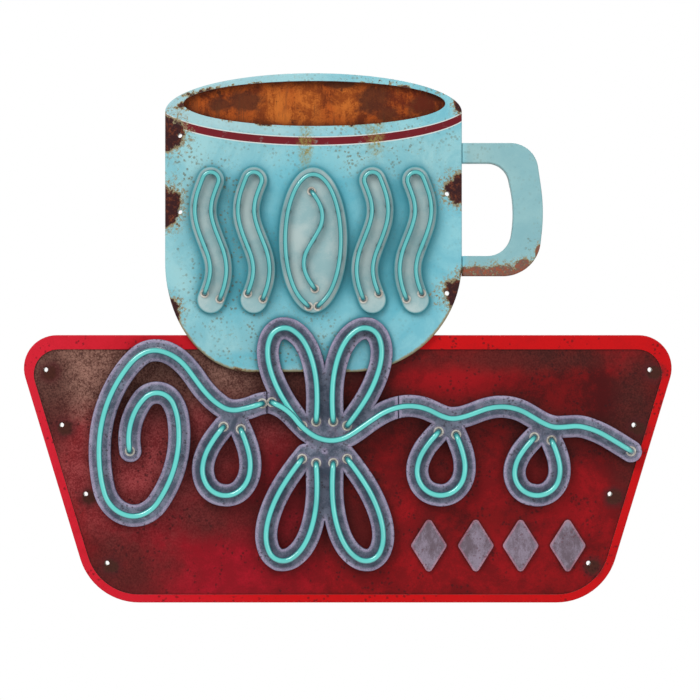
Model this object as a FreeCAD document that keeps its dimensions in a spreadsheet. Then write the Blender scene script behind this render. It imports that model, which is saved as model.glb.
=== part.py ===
"""Neon advertising sign: a coffee cup standing over a trapezoid base, folded in sheet steel.

The frame is +Z up, +X to the right as seen from the front, and -Y towards the viewer.
The back edges of the pans lie on the wall plane Y = 0, and the origin is on that plane,
midway between the two top base bolts.  A depth is a distance in front of the wall, so a
point at depth d has Y = -d.  All lengths are millimetres.
"""
import FreeCAD
import Part
import Sketcher
import math
import os

SIZES = {
    # Sheet metal and depths in front of the wall
    "sheet": 1.5,
    "base_field_depth": 36,
    "base_border_depth": 38,
    "cup_depth": 46,
    "handle_depth": 44,
    "mouth_depth": 36,
    "band_depth": 54,
    "band_back": 38.3,
    "fit_gap": 0.3,
    "arc_tolerance": 0.6,
    "pan_fold": 2,
    "band_fold": 3,
    "handle_fold": 2,
    "plate_fold": 1.2,
    # Base pan, a trapezoid with round corners
    "base_top": 45,
    "base_height": 348.3,
    "base_top_width": 873.6,
    "base_bottom_width": 662.2,
    "base_top_round": 43,
    "base_bottom_round": 80,
    "border_width": 9,
    "top_border_drop": 8,
    # Cup pan
    "cup_centre": -44.6,
    "cup_width": 386,
    "rim_height": 335,
    "rim_rise": 50.7,
    "cup_shoulder": 140,
    "cup_round": 143,
    "cup_left_round": 110.5,
    "mouth_centre": -43.4,
    "mouth_height": 346.3,
    "mouth_width": 340.6,
    "mouth_opening": 58.8,
    # Steam wisps and bean on the cup
    "wisp_bottom": 91,
    "wisp_length": 155,
    "wisp_sway": 10,
    "wisp_half_width": 18,
    "wisp_glass_reach": 10.5,
    "motif_middle": 168.5,
    "bean_centre": -45,
    "bean_half_width": 45,
    "bean_half_height": 95,
    # Scroll band and its glass
    "band_half_width": 14.5,
    "scroll_tube_radius": 4,
    "cup_tube_radius": 3.2,
    "tube_rest": 59,
    "stem_rest": 68.4,
    "bend_radius": 9,
    "bushing_thickness": 1.5,
    "cap_radius": 5.6,
    "cap_below": 9,
    "cap_above": 5,
    "cup_leg_end": 30,
    "base_leg_end": 24,
    "stud_radius": 2,
    "knot_centre": -30,
    "loop_glass_trim": 16,
    "end_glass_trim": 9,
    "seam_glass_trim": 22,
    # Accent plates
    "plate_width": 48,
    "plate_height": 76,
    "plate_round": 5,
    "plate_stand_off": 4,
    # Wall bolts
    "bolt_hole_radius": 3,
    "sleeve_radius": 5.5,
    # Rear frame
    "bar_width": 30,
    "bar_thickness": 4,
    "upright_length": 500,
    "upright_bottom": -165,
    "upright_spread": 105,
    "upper_rail_length": 740,
    "upper_rail_height": 12,
    "lower_rail_length": 650,
    "lower_rail_height": -140,
    "rivet_radius": 2.5,
    "post_radius": 5,
    # Transformer box
    "box_centre": -45,
    "box_width": 210,
    "box_height": 96,
    "box_back": 4.1,
    "box_bottom": -276,
    "case_centre": -70,
    "case_width": 130,
    "case_height": 62,
    "case_depth": 24,
    "flange_width": 10,
    "gland_place": -120,
    "gland_radius": 6,
    "gland_bore": 3.5,
    "gland_length": 13,
    "gland_inside": 4,
    "gland_collar_radius": 9,
    "gland_collar_height": 4,
    "terminal_radius": 5,
    "switch_middle": -228,
    "box_port_depth": 19,
    "thread_radius": 5.8,
    "switch_nut_half_flats": 7.5,
    "switch_nut_thickness": 2.5,
    "lead_radius": 2,
    "lead_bend": 3.8,
    "lead_depth": 11,
    "lead_hole_radius": 4.5,
    "lever_length": 14,
    "lever_ball_radius": 2.4,
    "lever_neck_radius": 1.3,
    "lever_tip_radius": 2.3,
    "latch_inset": 10,
    "latch_radius": 1.6,
    "latch_head_radius": 6,
    "latch_head_back": 0.3,
    "latch_reach": 8,
    "door_back": 2.3,
    "hinge_radius": 2.5,
    "hinge_pin_radius": 1.4,
    "hinge_depth": 4.3,
    "knuckle_length": 14,
    "knuckle_gap": 0.5,
    "lever_tilt": 12,
}

STEAM = {"steam_1": (-178, 1), "steam_2": (-122, 1), "steam_3": (32, -1), "steam_4": (88, -1)}
BASE_BOLTS = [(393.5, 0), (372.7, -72), (341.5, -162), (313.5, -252)]
CUP_BOLTS = [(-218.4, 304.7), (-218.4, 205.4), (129.2, 229), (129.2, 99.5)]
PLATE_CENTRES = [105.6, 166.7, 225, 286.3]
PLATE_MIDDLE = -229
STEM_LEFT_END = [(-192, -20), (-170, -43), (-149, -53), (-131, -50), (-98, -43)]
STEM_RIGHT = [
    (-112, -42), (-74, -58), (-52, -80), (-30, -91), (-6, -89), (20, -73), (48, -55), (80, -47),
    (110, -54), (132, -63), (154, -60), (188, -49), (222, -52), (246, -65), (266, -74),
    (296, -73), (330, -84), (368, -106),
]
SEAM_LEFT = -105
SEAM_RIGHT = 66
MOTIF_STUDS = [
    (-178, 125), (-178, 212), (-122, 125), (-122, 212), (-66, 168.5), (-24, 168.5),
    (32, 125), (32, 212), (88, 125), (88, 212),
]
CUP_POSTS = [(-150, 285), (60, 285), (-150, 60), (60, 60)]
BASE_POSTS = [
    (-300, 12), (-205, 12), (205, 12), (300, 12),
    (-290, -140), (-225, -140), (215, -140), (290, -140),
]
LEAD_HOLES = [-118, -78]

document = FreeCAD.newDocument("neon_sign")
sheet = document.addObject("Spreadsheet::Sheet", "sizes")
for row, (alias, value) in enumerate(SIZES.items(), start=1):
    sheet.set(f"A{row}", alias)
    sheet.set(f"B{row}", str(value))
    sheet.setAlias(f"B{row}", alias)
document.recompute()

nodes = []


def size(alias):
    """The value of one cell of the sheet."""
    return float(getattr(sheet, alias))


def at(x, z, depth=0):
    """A point of the sign, a depth in front of the wall."""
    return FreeCAD.Vector(x, -depth, z)


def keep(name, shape):
    """A sub-part of its own, whose shape is already in place."""
    item = document.addObject("Part::Feature", name)
    item.Label = name
    item.Shape = shape
    nodes.append(item)
    return item


# ---------------------------------------------------------------- outlines and sheet metal

def slab(face, back, front):
    """The solid between two depths behind and in front of a face drawn on the wall plane."""
    moved = face.translated(at(0, 0, back))
    return moved.extrude(at(0, 0, front - back))


def front_edges(shape, front):
    """The edges of a shape that lie on its front face."""
    return [edge for edge in shape.Edges if abs(edge.BoundBox.YMax + front) < 0.001]


def pan(outline, back, front, fold=0):
    """A folded pan: a front sheet with returns that run back, rounded at the fold."""
    outer = slab(outline(0), back, front)
    if fold:
        outer = outer.makeFillet(fold, front_edges(outer, front))
    hollow = slab(outline(size("sheet")), back, front - size("sheet"))
    return outer.cut(hollow)


def disc(x, z, radius):
    """A round face on the wall plane."""
    circle = Part.makeCircle(radius, at(x, z), FreeCAD.Vector(0, 1, 0))
    return Part.Face(Part.Wire([circle]))


def rod(x, z, radius, back, front):
    """A round bar that stands square to the wall."""
    return slab(disc(x, z, radius), back, front)


def tube_spacer(x, z, inner, outer, back, front):
    """A round spacer with a bore, square to the wall."""
    return rod(x, z, outer, back, front).cut(rod(x, z, inner, back, front))


def ellipse(x, z, half_width, half_height):
    """An oval face on the wall plane; the longer half axis may be either one."""
    if half_width > half_height:
        curve = Part.Ellipse(at(x + half_width, z), at(x, z + half_height), at(x, z))
    else:
        curve = Part.Ellipse(at(x, z + half_height), at(x - half_width, z), at(x, z))
    return Part.Face(Part.Wire([curve.toShape()]))


def rounded_polygon(corners, radii):
    """A face whose corners are each rounded by their own radius."""
    edges = []
    ends = []
    count = len(corners)
    for index in range(count):
        corner = corners[index]
        before = (corners[index - 1] - corner).normalize()
        after = (corners[(index + 1) % count] - corner).normalize()
        half_angle = before.getAngle(after) / 2
        run = radii[index] / math.tan(half_angle)
        inward = (before + after).normalize()
        middle = corner + inward * (radii[index] / math.sin(half_angle) - radii[index])
        start = corner + before * run
        finish = corner + after * run
        edges.append(Part.Arc(start, middle, finish).toShape() if radii[index] else None)
        ends.append((start, finish))
    outline = []
    for index in range(count):
        if edges[index]:
            outline.append(edges[index])
        outline.append(Part.makeLine(ends[index][1], ends[(index + 1) % count][0]))
    return Part.Face(Part.Wire(outline))


def base_outline(inset, drop=0):
    """The trapezoid base, its corners rounded, drawn in by an inset and its top lowered by a drop."""
    top = size("base_top") - inset - drop
    bottom = size("base_top") - size("base_height")
    slope = (size("base_top_width") - size("base_bottom_width")) / 2 / size("base_height")
    side = inset * math.sqrt(1 + slope * slope)
    half_top = size("base_top_width") / 2 - slope * (inset + drop) - side
    half_bottom = size("base_bottom_width") / 2 + slope * inset - side
    corners = [
        at(-half_top, top),
        at(half_top, top),
        at(half_bottom, bottom + inset),
        at(-half_bottom, bottom + inset),
    ]
    top_round = size("base_top_round") - inset
    bottom_round = size("base_bottom_round") - inset
    return rounded_polygon(corners, [top_round, top_round, bottom_round, bottom_round])


def quarter(centre_x, centre_z, half_width, half_height, start_angle):
    """A quarter of an oval, from its start angle anticlockwise as seen from the front."""
    spans = 12
    points = []
    for step in range(spans + 1):
        turn = math.radians(start_angle + 90 * step / spans)
        points.append(at(centre_x + half_width * math.cos(turn), centre_z + half_height * math.sin(turn)))
    curve = Part.BSplineCurve()
    curve.interpolate(points)
    return curve.toShape()


def cup_outline(inset):
    """The cup without its handle: an oval rim, straight sides and a rounded foot."""
    left = size("cup_centre") - size("cup_width") / 2 + inset
    right = size("cup_centre") + size("cup_width") / 2 - inset
    middle = (left + right) / 2
    half = (right - left) / 2
    rim = size("rim_height")
    rise = size("rim_rise") - inset
    shoulder = size("cup_shoulder")
    drop = size("cup_round") - inset
    left_round = size("cup_left_round") - inset
    foot_left = left + left_round
    foot_right = right - drop
    edges = [
        quarter(middle, rim, half, rise, 0),
        quarter(middle, rim, half, rise, 90),
        Part.makeLine(at(left, rim), at(left, shoulder)),
        quarter(foot_left, shoulder, left_round, drop, 180),
        Part.makeLine(at(foot_left, shoulder - drop), at(foot_right, shoulder - drop)),
        quarter(foot_right, shoulder, drop, drop, 270),
        Part.makeLine(at(right, shoulder), at(right, rim)),
    ]
    return Part.Face(Part.Wire(edges))


def mouth_outline(inset):
    """The oval opening of the cup."""
    half_width = size("mouth_width") / 2 - inset
    half_height = size("mouth_opening") / 2 - inset
    return ellipse(size("mouth_centre"), size("mouth_height"), half_width, half_height)


def handle_outline(inset):
    """The handle: a bent strap whose two ends meet the side of the cup."""
    side = size("cup_centre") + size("cup_width") / 2 + 0.2 + inset
    outer = rounded_polygon(
        [at(side, 295 - inset), at(243 - inset * 0.9, 295 - inset), at(256 - inset, 208),
         at(246 - inset * 0.9, 122 + inset), at(side, 122 + inset)],
        [0, 36 - inset, 240, 48 - inset, 0])
    inner = rounded_polygon(
        [at(side - 9, 269 + inset), at(205 + inset * 0.9, 269 + inset), at(218 + inset, 208),
         at(209 + inset * 0.9, 148 - inset), at(side - 9, 148 - inset)],
        [0, 28 + inset, 160, 32 + inset, 0])
    return outer.cut(inner).Faces[0]


# ---------------------------------------------------------------- paths of tangent arcs

def smooth_path(points, head=0, tail=0):
    """A wire of tangent arcs through points on the wall plane, with a length cut off each end."""
    curve = Part.BSplineCurve()
    curve.interpolate([at(x, z) for x, z in points])
    first = curve.parameterAtDistance(head, curve.FirstParameter)
    last = curve.parameterAtDistance(-tail, curve.LastParameter)
    curve.segment(first, last)
    return Part.Wire([arc.toShape() for arc in curve.toBiArcs(size("arc_tolerance"))])


def ribbon(path, half_width):
    """A band of even width with round ends along a path."""
    return path.makeOffset2D(half_width, 0, True, False, False)


def joined(faces):
    """One face over several that overlap."""
    return faces[0].multiFuse(faces[1:]).removeSplitter().Faces[0]


def between(face, low, high):
    """The part of a face between two X places."""
    corners = [at(low, -400), at(high, -400), at(high, 200), at(low, 200)]
    return face.common(rounded_polygon(corners, [0, 0, 0, 0])).Faces[0]


def ways_out(path):
    """The two ends of a path, each with the direction in which it would run on."""
    ends = []
    for index in (0, -1):
        edge = path.OrderedEdges[index]
        point = path.OrderedVertexes[index].Point
        way = edge.tangentAt(edge.Curve.parameter(point))
        inside = edge.valueAt((edge.FirstParameter + edge.LastParameter) / 2)
        if way.dot(inside - point) > 0:
            way = way * -1
        ends.append((point, way))
    return ends


def wisp_points(centre, way):
    """The middle line of one steam wisp, from the bottom up: one wave."""
    points = []
    for step in range(13):
        share = step / 12
        x = centre + way * size("wisp_sway") * math.sin(2 * math.pi * share)
        points.append((x, size("wisp_bottom") + size("wisp_length") * share))
    return points


def wisp_glass_path(centre, way):
    """Up one side of a wisp, round its top and down the other, left open at the bottom."""
    middle = smooth_path(wisp_points(centre, way)[1:])
    loop = ribbon(middle, size("wisp_glass_reach")).OuterWire
    bottom = middle.OrderedVertexes[0].Point
    lowest = min(loop.Edges, key=lambda edge: edge.CenterOfMass.distanceToPoint(bottom + at(0, -8)))
    edges = [edge for edge in loop.Edges if not edge.isSame(lowest)]
    return Part.Wire(Part.__sortEdges__(edges))


def bean_points():
    """The glass round the bean, open at the bottom."""
    half_width = size("bean_half_width") - 9
    half_height = size("bean_half_height") - 10
    points = []
    for step in range(17):
        angle = math.radians(-70 + 320 * step / 16)
        x = size("bean_centre") + half_width * math.cos(angle)
        points.append((x, size("motif_middle") + half_height * math.sin(angle)))
    return points


def crease_points():
    """The S-shaped crease down the middle of the bean."""
    points = []
    for step in range(9):
        share = step / 8 - 0.5
        x = size("bean_centre") + 12 * math.sin(2 * math.pi * share * 0.92)
        points.append((x, size("motif_middle") + 112 * share))
    return points


def volute_points():
    """The big scroll at the left, from its inner end out to the top of its outer turn."""
    centre_x, centre_z = -261, -92
    half_width, half_height = 62, 118
    lean = 0.13
    inner_angle, outer_angle = 560, 62
    steps = 14
    points = []
    for step in range(steps + 1):
        angle = inner_angle + (outer_angle - inner_angle) * step / steps
        shrink = min(max((angle - 170) / (inner_angle - 170), 0), 1)
        scale = 1 - 0.66 * shrink
        rise = half_height * scale * math.sin(math.radians(angle))
        reach = half_width * scale * math.cos(math.radians(angle))
        points.append((centre_x + reach + lean * rise, centre_z + rise))
    return points


def loop_points(root_x, root_z, lean, length, fullness):
    """A drop-shaped loop that grows from its root; a lean of 0 points straight up."""
    start = 36
    steps = 12
    lean_angle = math.radians(lean)
    points = []
    for step in range(steps + 1):
        turn = math.radians(start + (360 - 2 * start) * step / steps)
        along = length * (1 - math.cos(turn)) / 2
        across = fullness * math.sin(turn) * math.sin(turn / 2)
        x = root_x + along * math.sin(lean_angle) + across * math.cos(lean_angle)
        z = root_z + along * math.cos(lean_angle) - across * math.sin(lean_angle)
        points.append((x, z))
    return points


KNOT = size("knot_centre")
LOOP_TRIM = size("loop_glass_trim")
END_TRIM = size("end_glass_trim")
SEAM_TRIM = size("seam_glass_trim")
LOOPS = {
    "upper_left_loop": loop_points(KNOT - 14, -90, -17, 150, 36),
    "upper_right_loop": loop_points(KNOT + 14, -90, 17, 150, 36),
    "lower_left_loop": loop_points(KNOT - 14, -98, 197, 156, 37),
    "lower_right_loop": loop_points(KNOT + 14, -98, 163, 156, 37),
    "left_loop": loop_points(-148, -60, 188, 104, 40),
    "middle_loop": loop_points(132, -68, 190, 96, 40),
    "right_loop": loop_points(256, -76, 190, 88, 38),
}
CUP_GLASS = {name + "_tube": wisp_glass_path(*place) for name, place in STEAM.items()}
CUP_GLASS["bean_outline_tube"] = smooth_path(bean_points())
CUP_GLASS["bean_crease_tube"] = smooth_path(crease_points())
LOOP_GLASS = {name + "_tube": smooth_path(points, LOOP_TRIM, LOOP_TRIM) for name, points in LOOPS.items()}
STEM_PATHS = {"left": smooth_path(volute_points() + STEM_LEFT_END), "right": smooth_path(STEM_RIGHT)}
STEM_GLASS = {
    "stem_tube_left": smooth_path(volute_points() + STEM_LEFT_END, END_TRIM, SEAM_TRIM),
    "stem_tube_right": smooth_path(STEM_RIGHT, SEAM_TRIM, END_TRIM),
}


def place_along(path, share):
    """The place at a share of a path's length."""
    point = path.discretize(Number=101)[round(share * 100)]
    return point.x, point.z


BAND_STUDS = [
    place_along(STEM_GLASS["stem_tube_left"], 0.22),
    place_along(STEM_GLASS["stem_tube_left"], 0.64),
    place_along(LOOP_GLASS["left_loop_tube"], 0.5),
    place_along(LOOP_GLASS["lower_left_loop_tube"], 0.88),
    place_along(LOOP_GLASS["lower_right_loop_tube"], 0.12),
    place_along(LOOP_GLASS["middle_loop_tube"], 0.5),
    place_along(LOOP_GLASS["right_loop_tube"], 0.5),
    place_along(STEM_GLASS["stem_tube_right"], 0.9),
]
PLATE_STUDS = [(x, PLATE_MIDDLE) for x in PLATE_CENTRES]
BASE_STUDS = BAND_STUDS + PLATE_STUDS
UPPER_LOOP_STUDS = [
    place_along(LOOP_GLASS["upper_left_loop_tube"], 0.5),
    place_along(LOOP_GLASS["upper_right_loop_tube"], 0.5),
]
CUP_STUDS = MOTIF_STUDS + UPPER_LOOP_STUDS


def leg_places(paths):
    """Where the turned-back ends of some tubes stand on the face."""
    places = []
    for path in paths:
        for point, way in ways_out(path):
            foot = point + way * size("bend_radius")
            places.append((foot.x, foot.z))
    return places


CUP_LEGS = leg_places(CUP_GLASS.values())
BASE_LEGS = leg_places(list(LOOP_GLASS.values()) + list(STEM_GLASS.values()))


# ---------------------------------------------------------------- pans

def round_holes(places, radius):
    """Drills that run through the whole depth of the sign."""
    return [rod(x, z, radius, -1, 70) for x, z in places]


def both_sides(places):
    """Places on the right, each with its mirror image on the left."""
    return [(side * x, z) for x, z in places for side in (-1, 1)]


def slot_for_upright(x):
    """The slot in the top return that an upright passes through."""
    width = size("bar_width") + 2
    depth = size("bar_thickness") + 1
    slot = Part.makeBox(width, depth + 1, 20)
    return slot.translated(FreeCAD.Vector(x - width / 2, -depth, size("base_top") - 10))


def upright_places():
    """The X places of the two uprights."""
    return [size("cup_centre") + side * size("upright_spread") for side in (-1, 1)]


def make_base_pan():
    """Border, returns and a field set back behind the border, with its holes and slots."""
    steel = size("sheet")
    border = size("border_width")
    drop = size("top_border_drop")
    border_front = size("base_border_depth")
    field_front = size("base_field_depth")
    shell = pan(base_outline, 0, border_front, size("pan_fold"))
    shell = shell.cut(slab(base_outline(border, drop), border_front - steel - 1, border_front + 1))
    step = slab(base_outline(border, drop), field_front - steel, border_front)
    step = step.cut(slab(base_outline(border + steel, drop), field_front, border_front))
    cuts = round_holes(both_sides(BASE_BOLTS), size("bolt_hole_radius"))
    cuts += round_holes(BASE_LEGS, size("cap_radius") + 0.6)
    cuts += round_holes(BASE_STUDS, size("stud_radius"))
    cuts += [slot_for_upright(x) for x in upright_places()]
    cuts += [upright_rod(x, size("lead_depth"), 35, 50, size("lead_hole_radius")) for x in LEAD_HOLES]
    return shell.fuse(step).removeSplitter().cut(cuts)


def make_cup_pan():
    """The cup face with its returns, which stop where the cup laps over the base."""
    shell = pan(cup_outline, 0, size("cup_depth"), size("pan_fold"))
    shell = shell.cut(slab(base_outline(-size("fit_gap")), -1, size("base_border_depth")))
    shell = shell.cut(slab(mouth_outline(0), -1, 60))
    lip = slab(mouth_outline(-size("sheet")), size("mouth_depth"), size("cup_depth"))
    lip = lip.cut(slab(mouth_outline(0), -1, 60))
    cuts = round_holes(CUP_BOLTS, size("bolt_hole_radius"))
    cuts += round_holes(CUP_LEGS, size("cap_radius") + 0.6)
    cuts += round_holes(CUP_STUDS, size("stud_radius"))
    cuts += handle_rivet_holes()
    return shell.fuse(lip).removeSplitter().cut(cuts)


def handle_rivet_places():
    """Depth and height of the four rivets that hold the handle to the side of the cup."""
    return [(depth, z) for depth in (12, 32) for z in (141, 282)]


def handle_rivet_holes():
    """The drills for those rivets, along X."""
    side = size("cup_centre") + size("cup_width") / 2
    radius = size("rivet_radius")
    return [cross_rod(side - 6, side + 6, depth, z, radius) for depth, z in handle_rivet_places()]


def make_handle_pan():
    """The handle, a pan of its own against the side of the cup."""
    return pan(handle_outline, 0, size("handle_depth"), size("handle_fold")).cut(handle_rivet_holes())


def handle_rivet(depth, z):
    """A rivet through the side of the cup and the end of the handle."""
    side = size("cup_centre") + size("cup_width") / 2
    steel = size("sheet")
    shank = cross_rod(side - steel, side + 0.2 + steel, depth, z, size("rivet_radius"))
    heads = [
        cross_rod(side - steel - 1.6, side - steel, depth, z, size("rivet_radius") + 1.5),
        cross_rod(side + 0.2 + steel, side + 1.8 + steel, depth, z, size("rivet_radius") + 1.5),
    ]
    return shank.fuse(heads).removeSplitter()


def make_mouth_panel():
    """The panel set back inside the mouth; it bears on the lip round the opening."""
    depth = size("mouth_depth")
    return slab(mouth_outline(-6), depth - size("sheet"), depth)


def steam_outline(name):
    """The outline of one steam wisp, as a function of an inset."""
    path = smooth_path(wisp_points(*STEAM[name]))
    return lambda inset: ribbon(path, size("wisp_half_width") - inset)


def bean_outline(inset):
    """The coffee bean on the cup."""
    half_width = size("bean_half_width") - inset
    half_height = size("bean_half_height") - inset
    return ellipse(size("bean_centre"), size("motif_middle"), half_width, half_height)


def make_motif_pan(outline):
    """A shallow pan that stands on the cup, with a hole for each bushing."""
    shell = pan(outline, size("cup_depth"), size("band_depth"), size("pan_fold"))
    return shell.cut(round_holes(CUP_LEGS, size("cup_tube_radius") + 1.4))


def loop_face(points, half_width):
    """The band of one loop: its two sides overlap at the tip and at the root."""
    half = len(points) // 2
    sides = [points[:half + 1], points[half:]]
    return joined([ribbon(smooth_path(side), half_width) for side in sides])


def band_outline(name, inset):
    """One of the three pans of the scroll band; they meet at two seams across the stem."""
    half = size("band_half_width") - inset
    gap = inset + 0.1
    if name == "left":
        stem = between(ribbon(STEM_PATHS["left"], half), -500, SEAM_LEFT - gap)
        loops = ["left_loop"]
    elif name == "centre":
        stem = between(ribbon(STEM_PATHS["right"], half), SEAM_LEFT + gap, SEAM_RIGHT - gap)
        loops = ["upper_left_loop", "upper_right_loop", "lower_left_loop", "lower_right_loop"]
    else:
        stem = between(ribbon(STEM_PATHS["right"], half), SEAM_RIGHT + gap, 500)
        loops = ["middle_loop", "right_loop"]
    return joined([stem] + [loop_face(LOOPS[loop], half) for loop in loops])


def make_band(name):
    """A pan of the scroll band, notched where it laps over the cup."""
    shell = pan(
        lambda inset: band_outline(name, inset), size("band_back"), size("band_depth"), size("band_fold"))
    over_cup = slab(cup_outline(-size("fit_gap")), 0, size("cup_depth"))
    return shell.cut([over_cup] + round_holes(BASE_LEGS, size("scroll_tube_radius") + 1.4))


def plate_outline(x):
    """A lozenge with rounded points, as a function of an inset."""
    def outline(inset):
        half_width = size("plate_width") / 2 - inset * 1.2
        half_height = size("plate_height") / 2 - inset * 1.8
        corners = [
            at(x - half_width, PLATE_MIDDLE),
            at(x, PLATE_MIDDLE - half_height),
            at(x + half_width, PLATE_MIDDLE),
            at(x, PLATE_MIDDLE + half_height),
        ]
        return rounded_polygon(corners, [size("plate_round")] * 4)
    return outline


# ---------------------------------------------------------------- glass

def back_bend(point, way, length):
    """The bend that turns a tube towards the wall, and the leg behind it."""
    radius = size("bend_radius")
    wallward = FreeCAD.Vector(0, 1, 0)
    centre = point + wallward * radius
    middle = centre + (way - wallward) * (radius / math.sqrt(2))
    end = centre + way * radius
    return [Part.Arc(point, middle, end).toShape(), Part.makeLine(end, end + wallward * length)]


def glass_tube(path, radius, rest, leg_end):
    """A tube along a path in front of the face, both ends turned back through it."""
    level = rest + radius
    length = level - size("bend_radius") - leg_end
    front = path.translated(at(0, 0, level))
    bends = [back_bend(point, way, length) for point, way in ways_out(front)]
    edges = front.Edges + bends[0] + bends[1]
    wire = Part.Wire(Part.__sortEdges__(edges))
    start = wire.OrderedVertexes[0].Point
    section = Part.Wire([Part.makeCircle(radius, start, FreeCAD.Vector(0, 1, 0))])
    return wire.makePipeShell([section], True, False)


def group(solids):
    """Separate solids that share one node."""
    return Part.makeCompound(solids)


def along(path, count):
    """Places spread evenly along a path, clear of its ends."""
    points = path.discretize(Number=count + 2)[1:-1]
    return [(point.x, point.z) for point in points]


def tube_support(x, z, rest):
    """A glass post with a flat foot, which carries the tube."""
    face = size("band_depth")
    return rod(x, z, 4, face, face + 1.2).fuse(rod(x, z, 2, face + 1, rest)).removeSplitter()


def bushing(x, z, tube_radius):
    """The ring through which a tube's end passes the face."""
    face = size("band_depth")
    flange = rod(x, z, tube_radius + 2.6, face, face + size("bushing_thickness"))
    neck = rod(x, z, tube_radius + 1.4, face - size("sheet"), face)
    return flange.fuse(neck).removeSplitter().cut(rod(x, z, tube_radius + 0.4, 0, 70))


def end_cap(x, z, tube_radius, leg_end):
    """The metal cap on a tube's end, which holds the electrode."""
    shell = rod(x, z, size("cap_radius"), leg_end - size("cap_below"), leg_end + size("cap_above"))
    return shell.cut(rod(x, z, tube_radius + 0.15, leg_end, 70))


# ---------------------------------------------------------------- studs, sleeves, posts

def hexagon(x, z, half_flats):
    """A six-sided face."""
    reach = half_flats / math.cos(math.pi / 6)
    corners = [
        at(x + reach * math.cos(math.radians(60 * turn)), z + reach * math.sin(math.radians(60 * turn)))
        for turn in range(6)
    ]
    return rounded_polygon(corners, [0] * 6)


def stud(x, z, face_back, raised_back):
    """A threaded stud welded behind a raised pan, long enough for its nut."""
    return rod(x, z, size("stud_radius"), face_back - 4.5, raised_back)


def nut(x, z, face_back):
    """The nut on a stud, behind the face."""
    return slab(hexagon(x, z, 3.5), face_back - 3, face_back).cut(rod(x, z, size("stud_radius"), 0, 70))


# ---------------------------------------------------------------- bodies made from sketches

def origin_plane(body, role):
    """One of a body's own planes."""
    return next(feature for feature in body.Origin.OriginFeatures if feature.Role == role)


def face_sketch(body, name):
    """A sketch on the body's upright plane: its X is the sign's X, its Y the sign's Z."""
    sketch = body.newObject("Sketcher::SketchObject", name)
    sketch.AttachmentSupport = [(origin_plane(body, "XZ_Plane"), "")]
    sketch.MapMode = "FlatFace"
    return sketch


def add_rectangle(sketch, width, height):
    """A rectangle centred on the sketch's origin, its sides bound to the sheet."""
    half_width = size(width) / 2
    half_height = size(height) / 2
    corners = [(-half_width, -half_height), (half_width, -half_height),
               (half_width, half_height), (-half_width, half_height)]
    for index in range(4):
        start = FreeCAD.Vector(*corners[index], 0)
        end = FreeCAD.Vector(*corners[(index + 1) % 4], 0)
        sketch.addGeometry(Part.LineSegment(start, end))
    for index in range(4):
        sketch.addConstraint(Sketcher.Constraint("Coincident", index, 2, (index + 1) % 4, 1))
    sketch.addConstraint(Sketcher.Constraint("Horizontal", 0))
    sketch.addConstraint(Sketcher.Constraint("Horizontal", 2))
    sketch.addConstraint(Sketcher.Constraint("Vertical", 1))
    sketch.addConstraint(Sketcher.Constraint("Vertical", 3))
    sketch.addConstraint(Sketcher.Constraint("Symmetric", 0, 1, 2, 1, -1, 1))
    wide = sketch.addConstraint(Sketcher.Constraint("DistanceX", 0, 1, 0, 2, size(width)))
    high = sketch.addConstraint(Sketcher.Constraint("DistanceY", 1, 1, 1, 2, size(height)))
    sketch.setExpression(f"Constraints[{wide}]", f"sizes.{width}")
    sketch.setExpression(f"Constraints[{high}]", f"sizes.{height}")


def add_circle(sketch, x, z, radius):
    """A circle whose radius is bound to the sheet."""
    circle = sketch.addGeometry(Part.Circle(FreeCAD.Vector(x, z, 0), FreeCAD.Vector(0, 0, 1), size(radius)))
    bound = sketch.addConstraint(Sketcher.Constraint("Radius", circle, size(radius)))
    sketch.setExpression(f"Constraints[{bound}]", f"sizes.{radius}")


def flat_bar(name, width, height, holes, place):
    """A flat bar that lies against the wall plane, drilled for its rivets."""
    body = document.addObject("PartDesign::Body", name)
    body.Label = name
    outline = face_sketch(body, name + "_outline")
    add_rectangle(outline, width, height)
    for x, z in holes:
        add_circle(outline, x, z, "rivet_radius")
    bar = body.newObject("PartDesign::Pad", name + "_pad")
    bar.Profile = outline
    bar.setExpression("Length", "sizes.bar_thickness")
    body.Placement = FreeCAD.Placement(place, FreeCAD.Rotation())
    nodes.append(body)
    return body


def make_frame():
    """Two uprights against the wall, and two rails riveted in front of them."""
    left, right = upright_places()
    middle = size("upright_bottom") + size("upright_length") / 2
    rails = [size("upper_rail_height"), size("lower_rail_height")]
    for name, x in (("rear_upright_left", left), ("rear_upright_right", right)):
        holes = [(0, rail - middle) for rail in rails]
        flat_bar(name, "bar_width", "upright_length", holes, at(x, middle))
    for name, length, z in (
        ("rear_rail_upper", "upper_rail_length", rails[0]),
        ("rear_rail_lower", "lower_rail_length", rails[1]),
    ):
        flat_bar(name, length, "bar_width", [(left, 0), (right, 0)], at(0, z, size("bar_thickness")))


def make_rivet(x, z):
    """A rivet flush at the wall, with a flat head in front of the rail."""
    front = 2 * size("bar_thickness")
    return rod(x, z, size("rivet_radius"), 0, front).fuse(rod(x, z, 5, front, front + 1.8)).removeSplitter()


def make_posts():
    """Posts that hold the faces off the rails and uprights."""
    radius = size("post_radius")
    bar = size("bar_thickness")
    cup_back = size("cup_depth") - size("sheet")
    field_back = size("base_field_depth") - size("sheet")
    posts = [rod(x, z, radius, bar, cup_back) for x, z in CUP_POSTS]
    posts += [rod(x, z, radius, 2 * bar, field_back) for x, z in BASE_POSTS]
    return posts


# ---------------------------------------------------------------- pieces made of primitives

FORWARDS = FreeCAD.Rotation(FreeCAD.Vector(1, 0, 0), 90)
SIDEWAYS = FreeCAD.Rotation(FreeCAD.Vector(0, 1, 0), 90)


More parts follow.
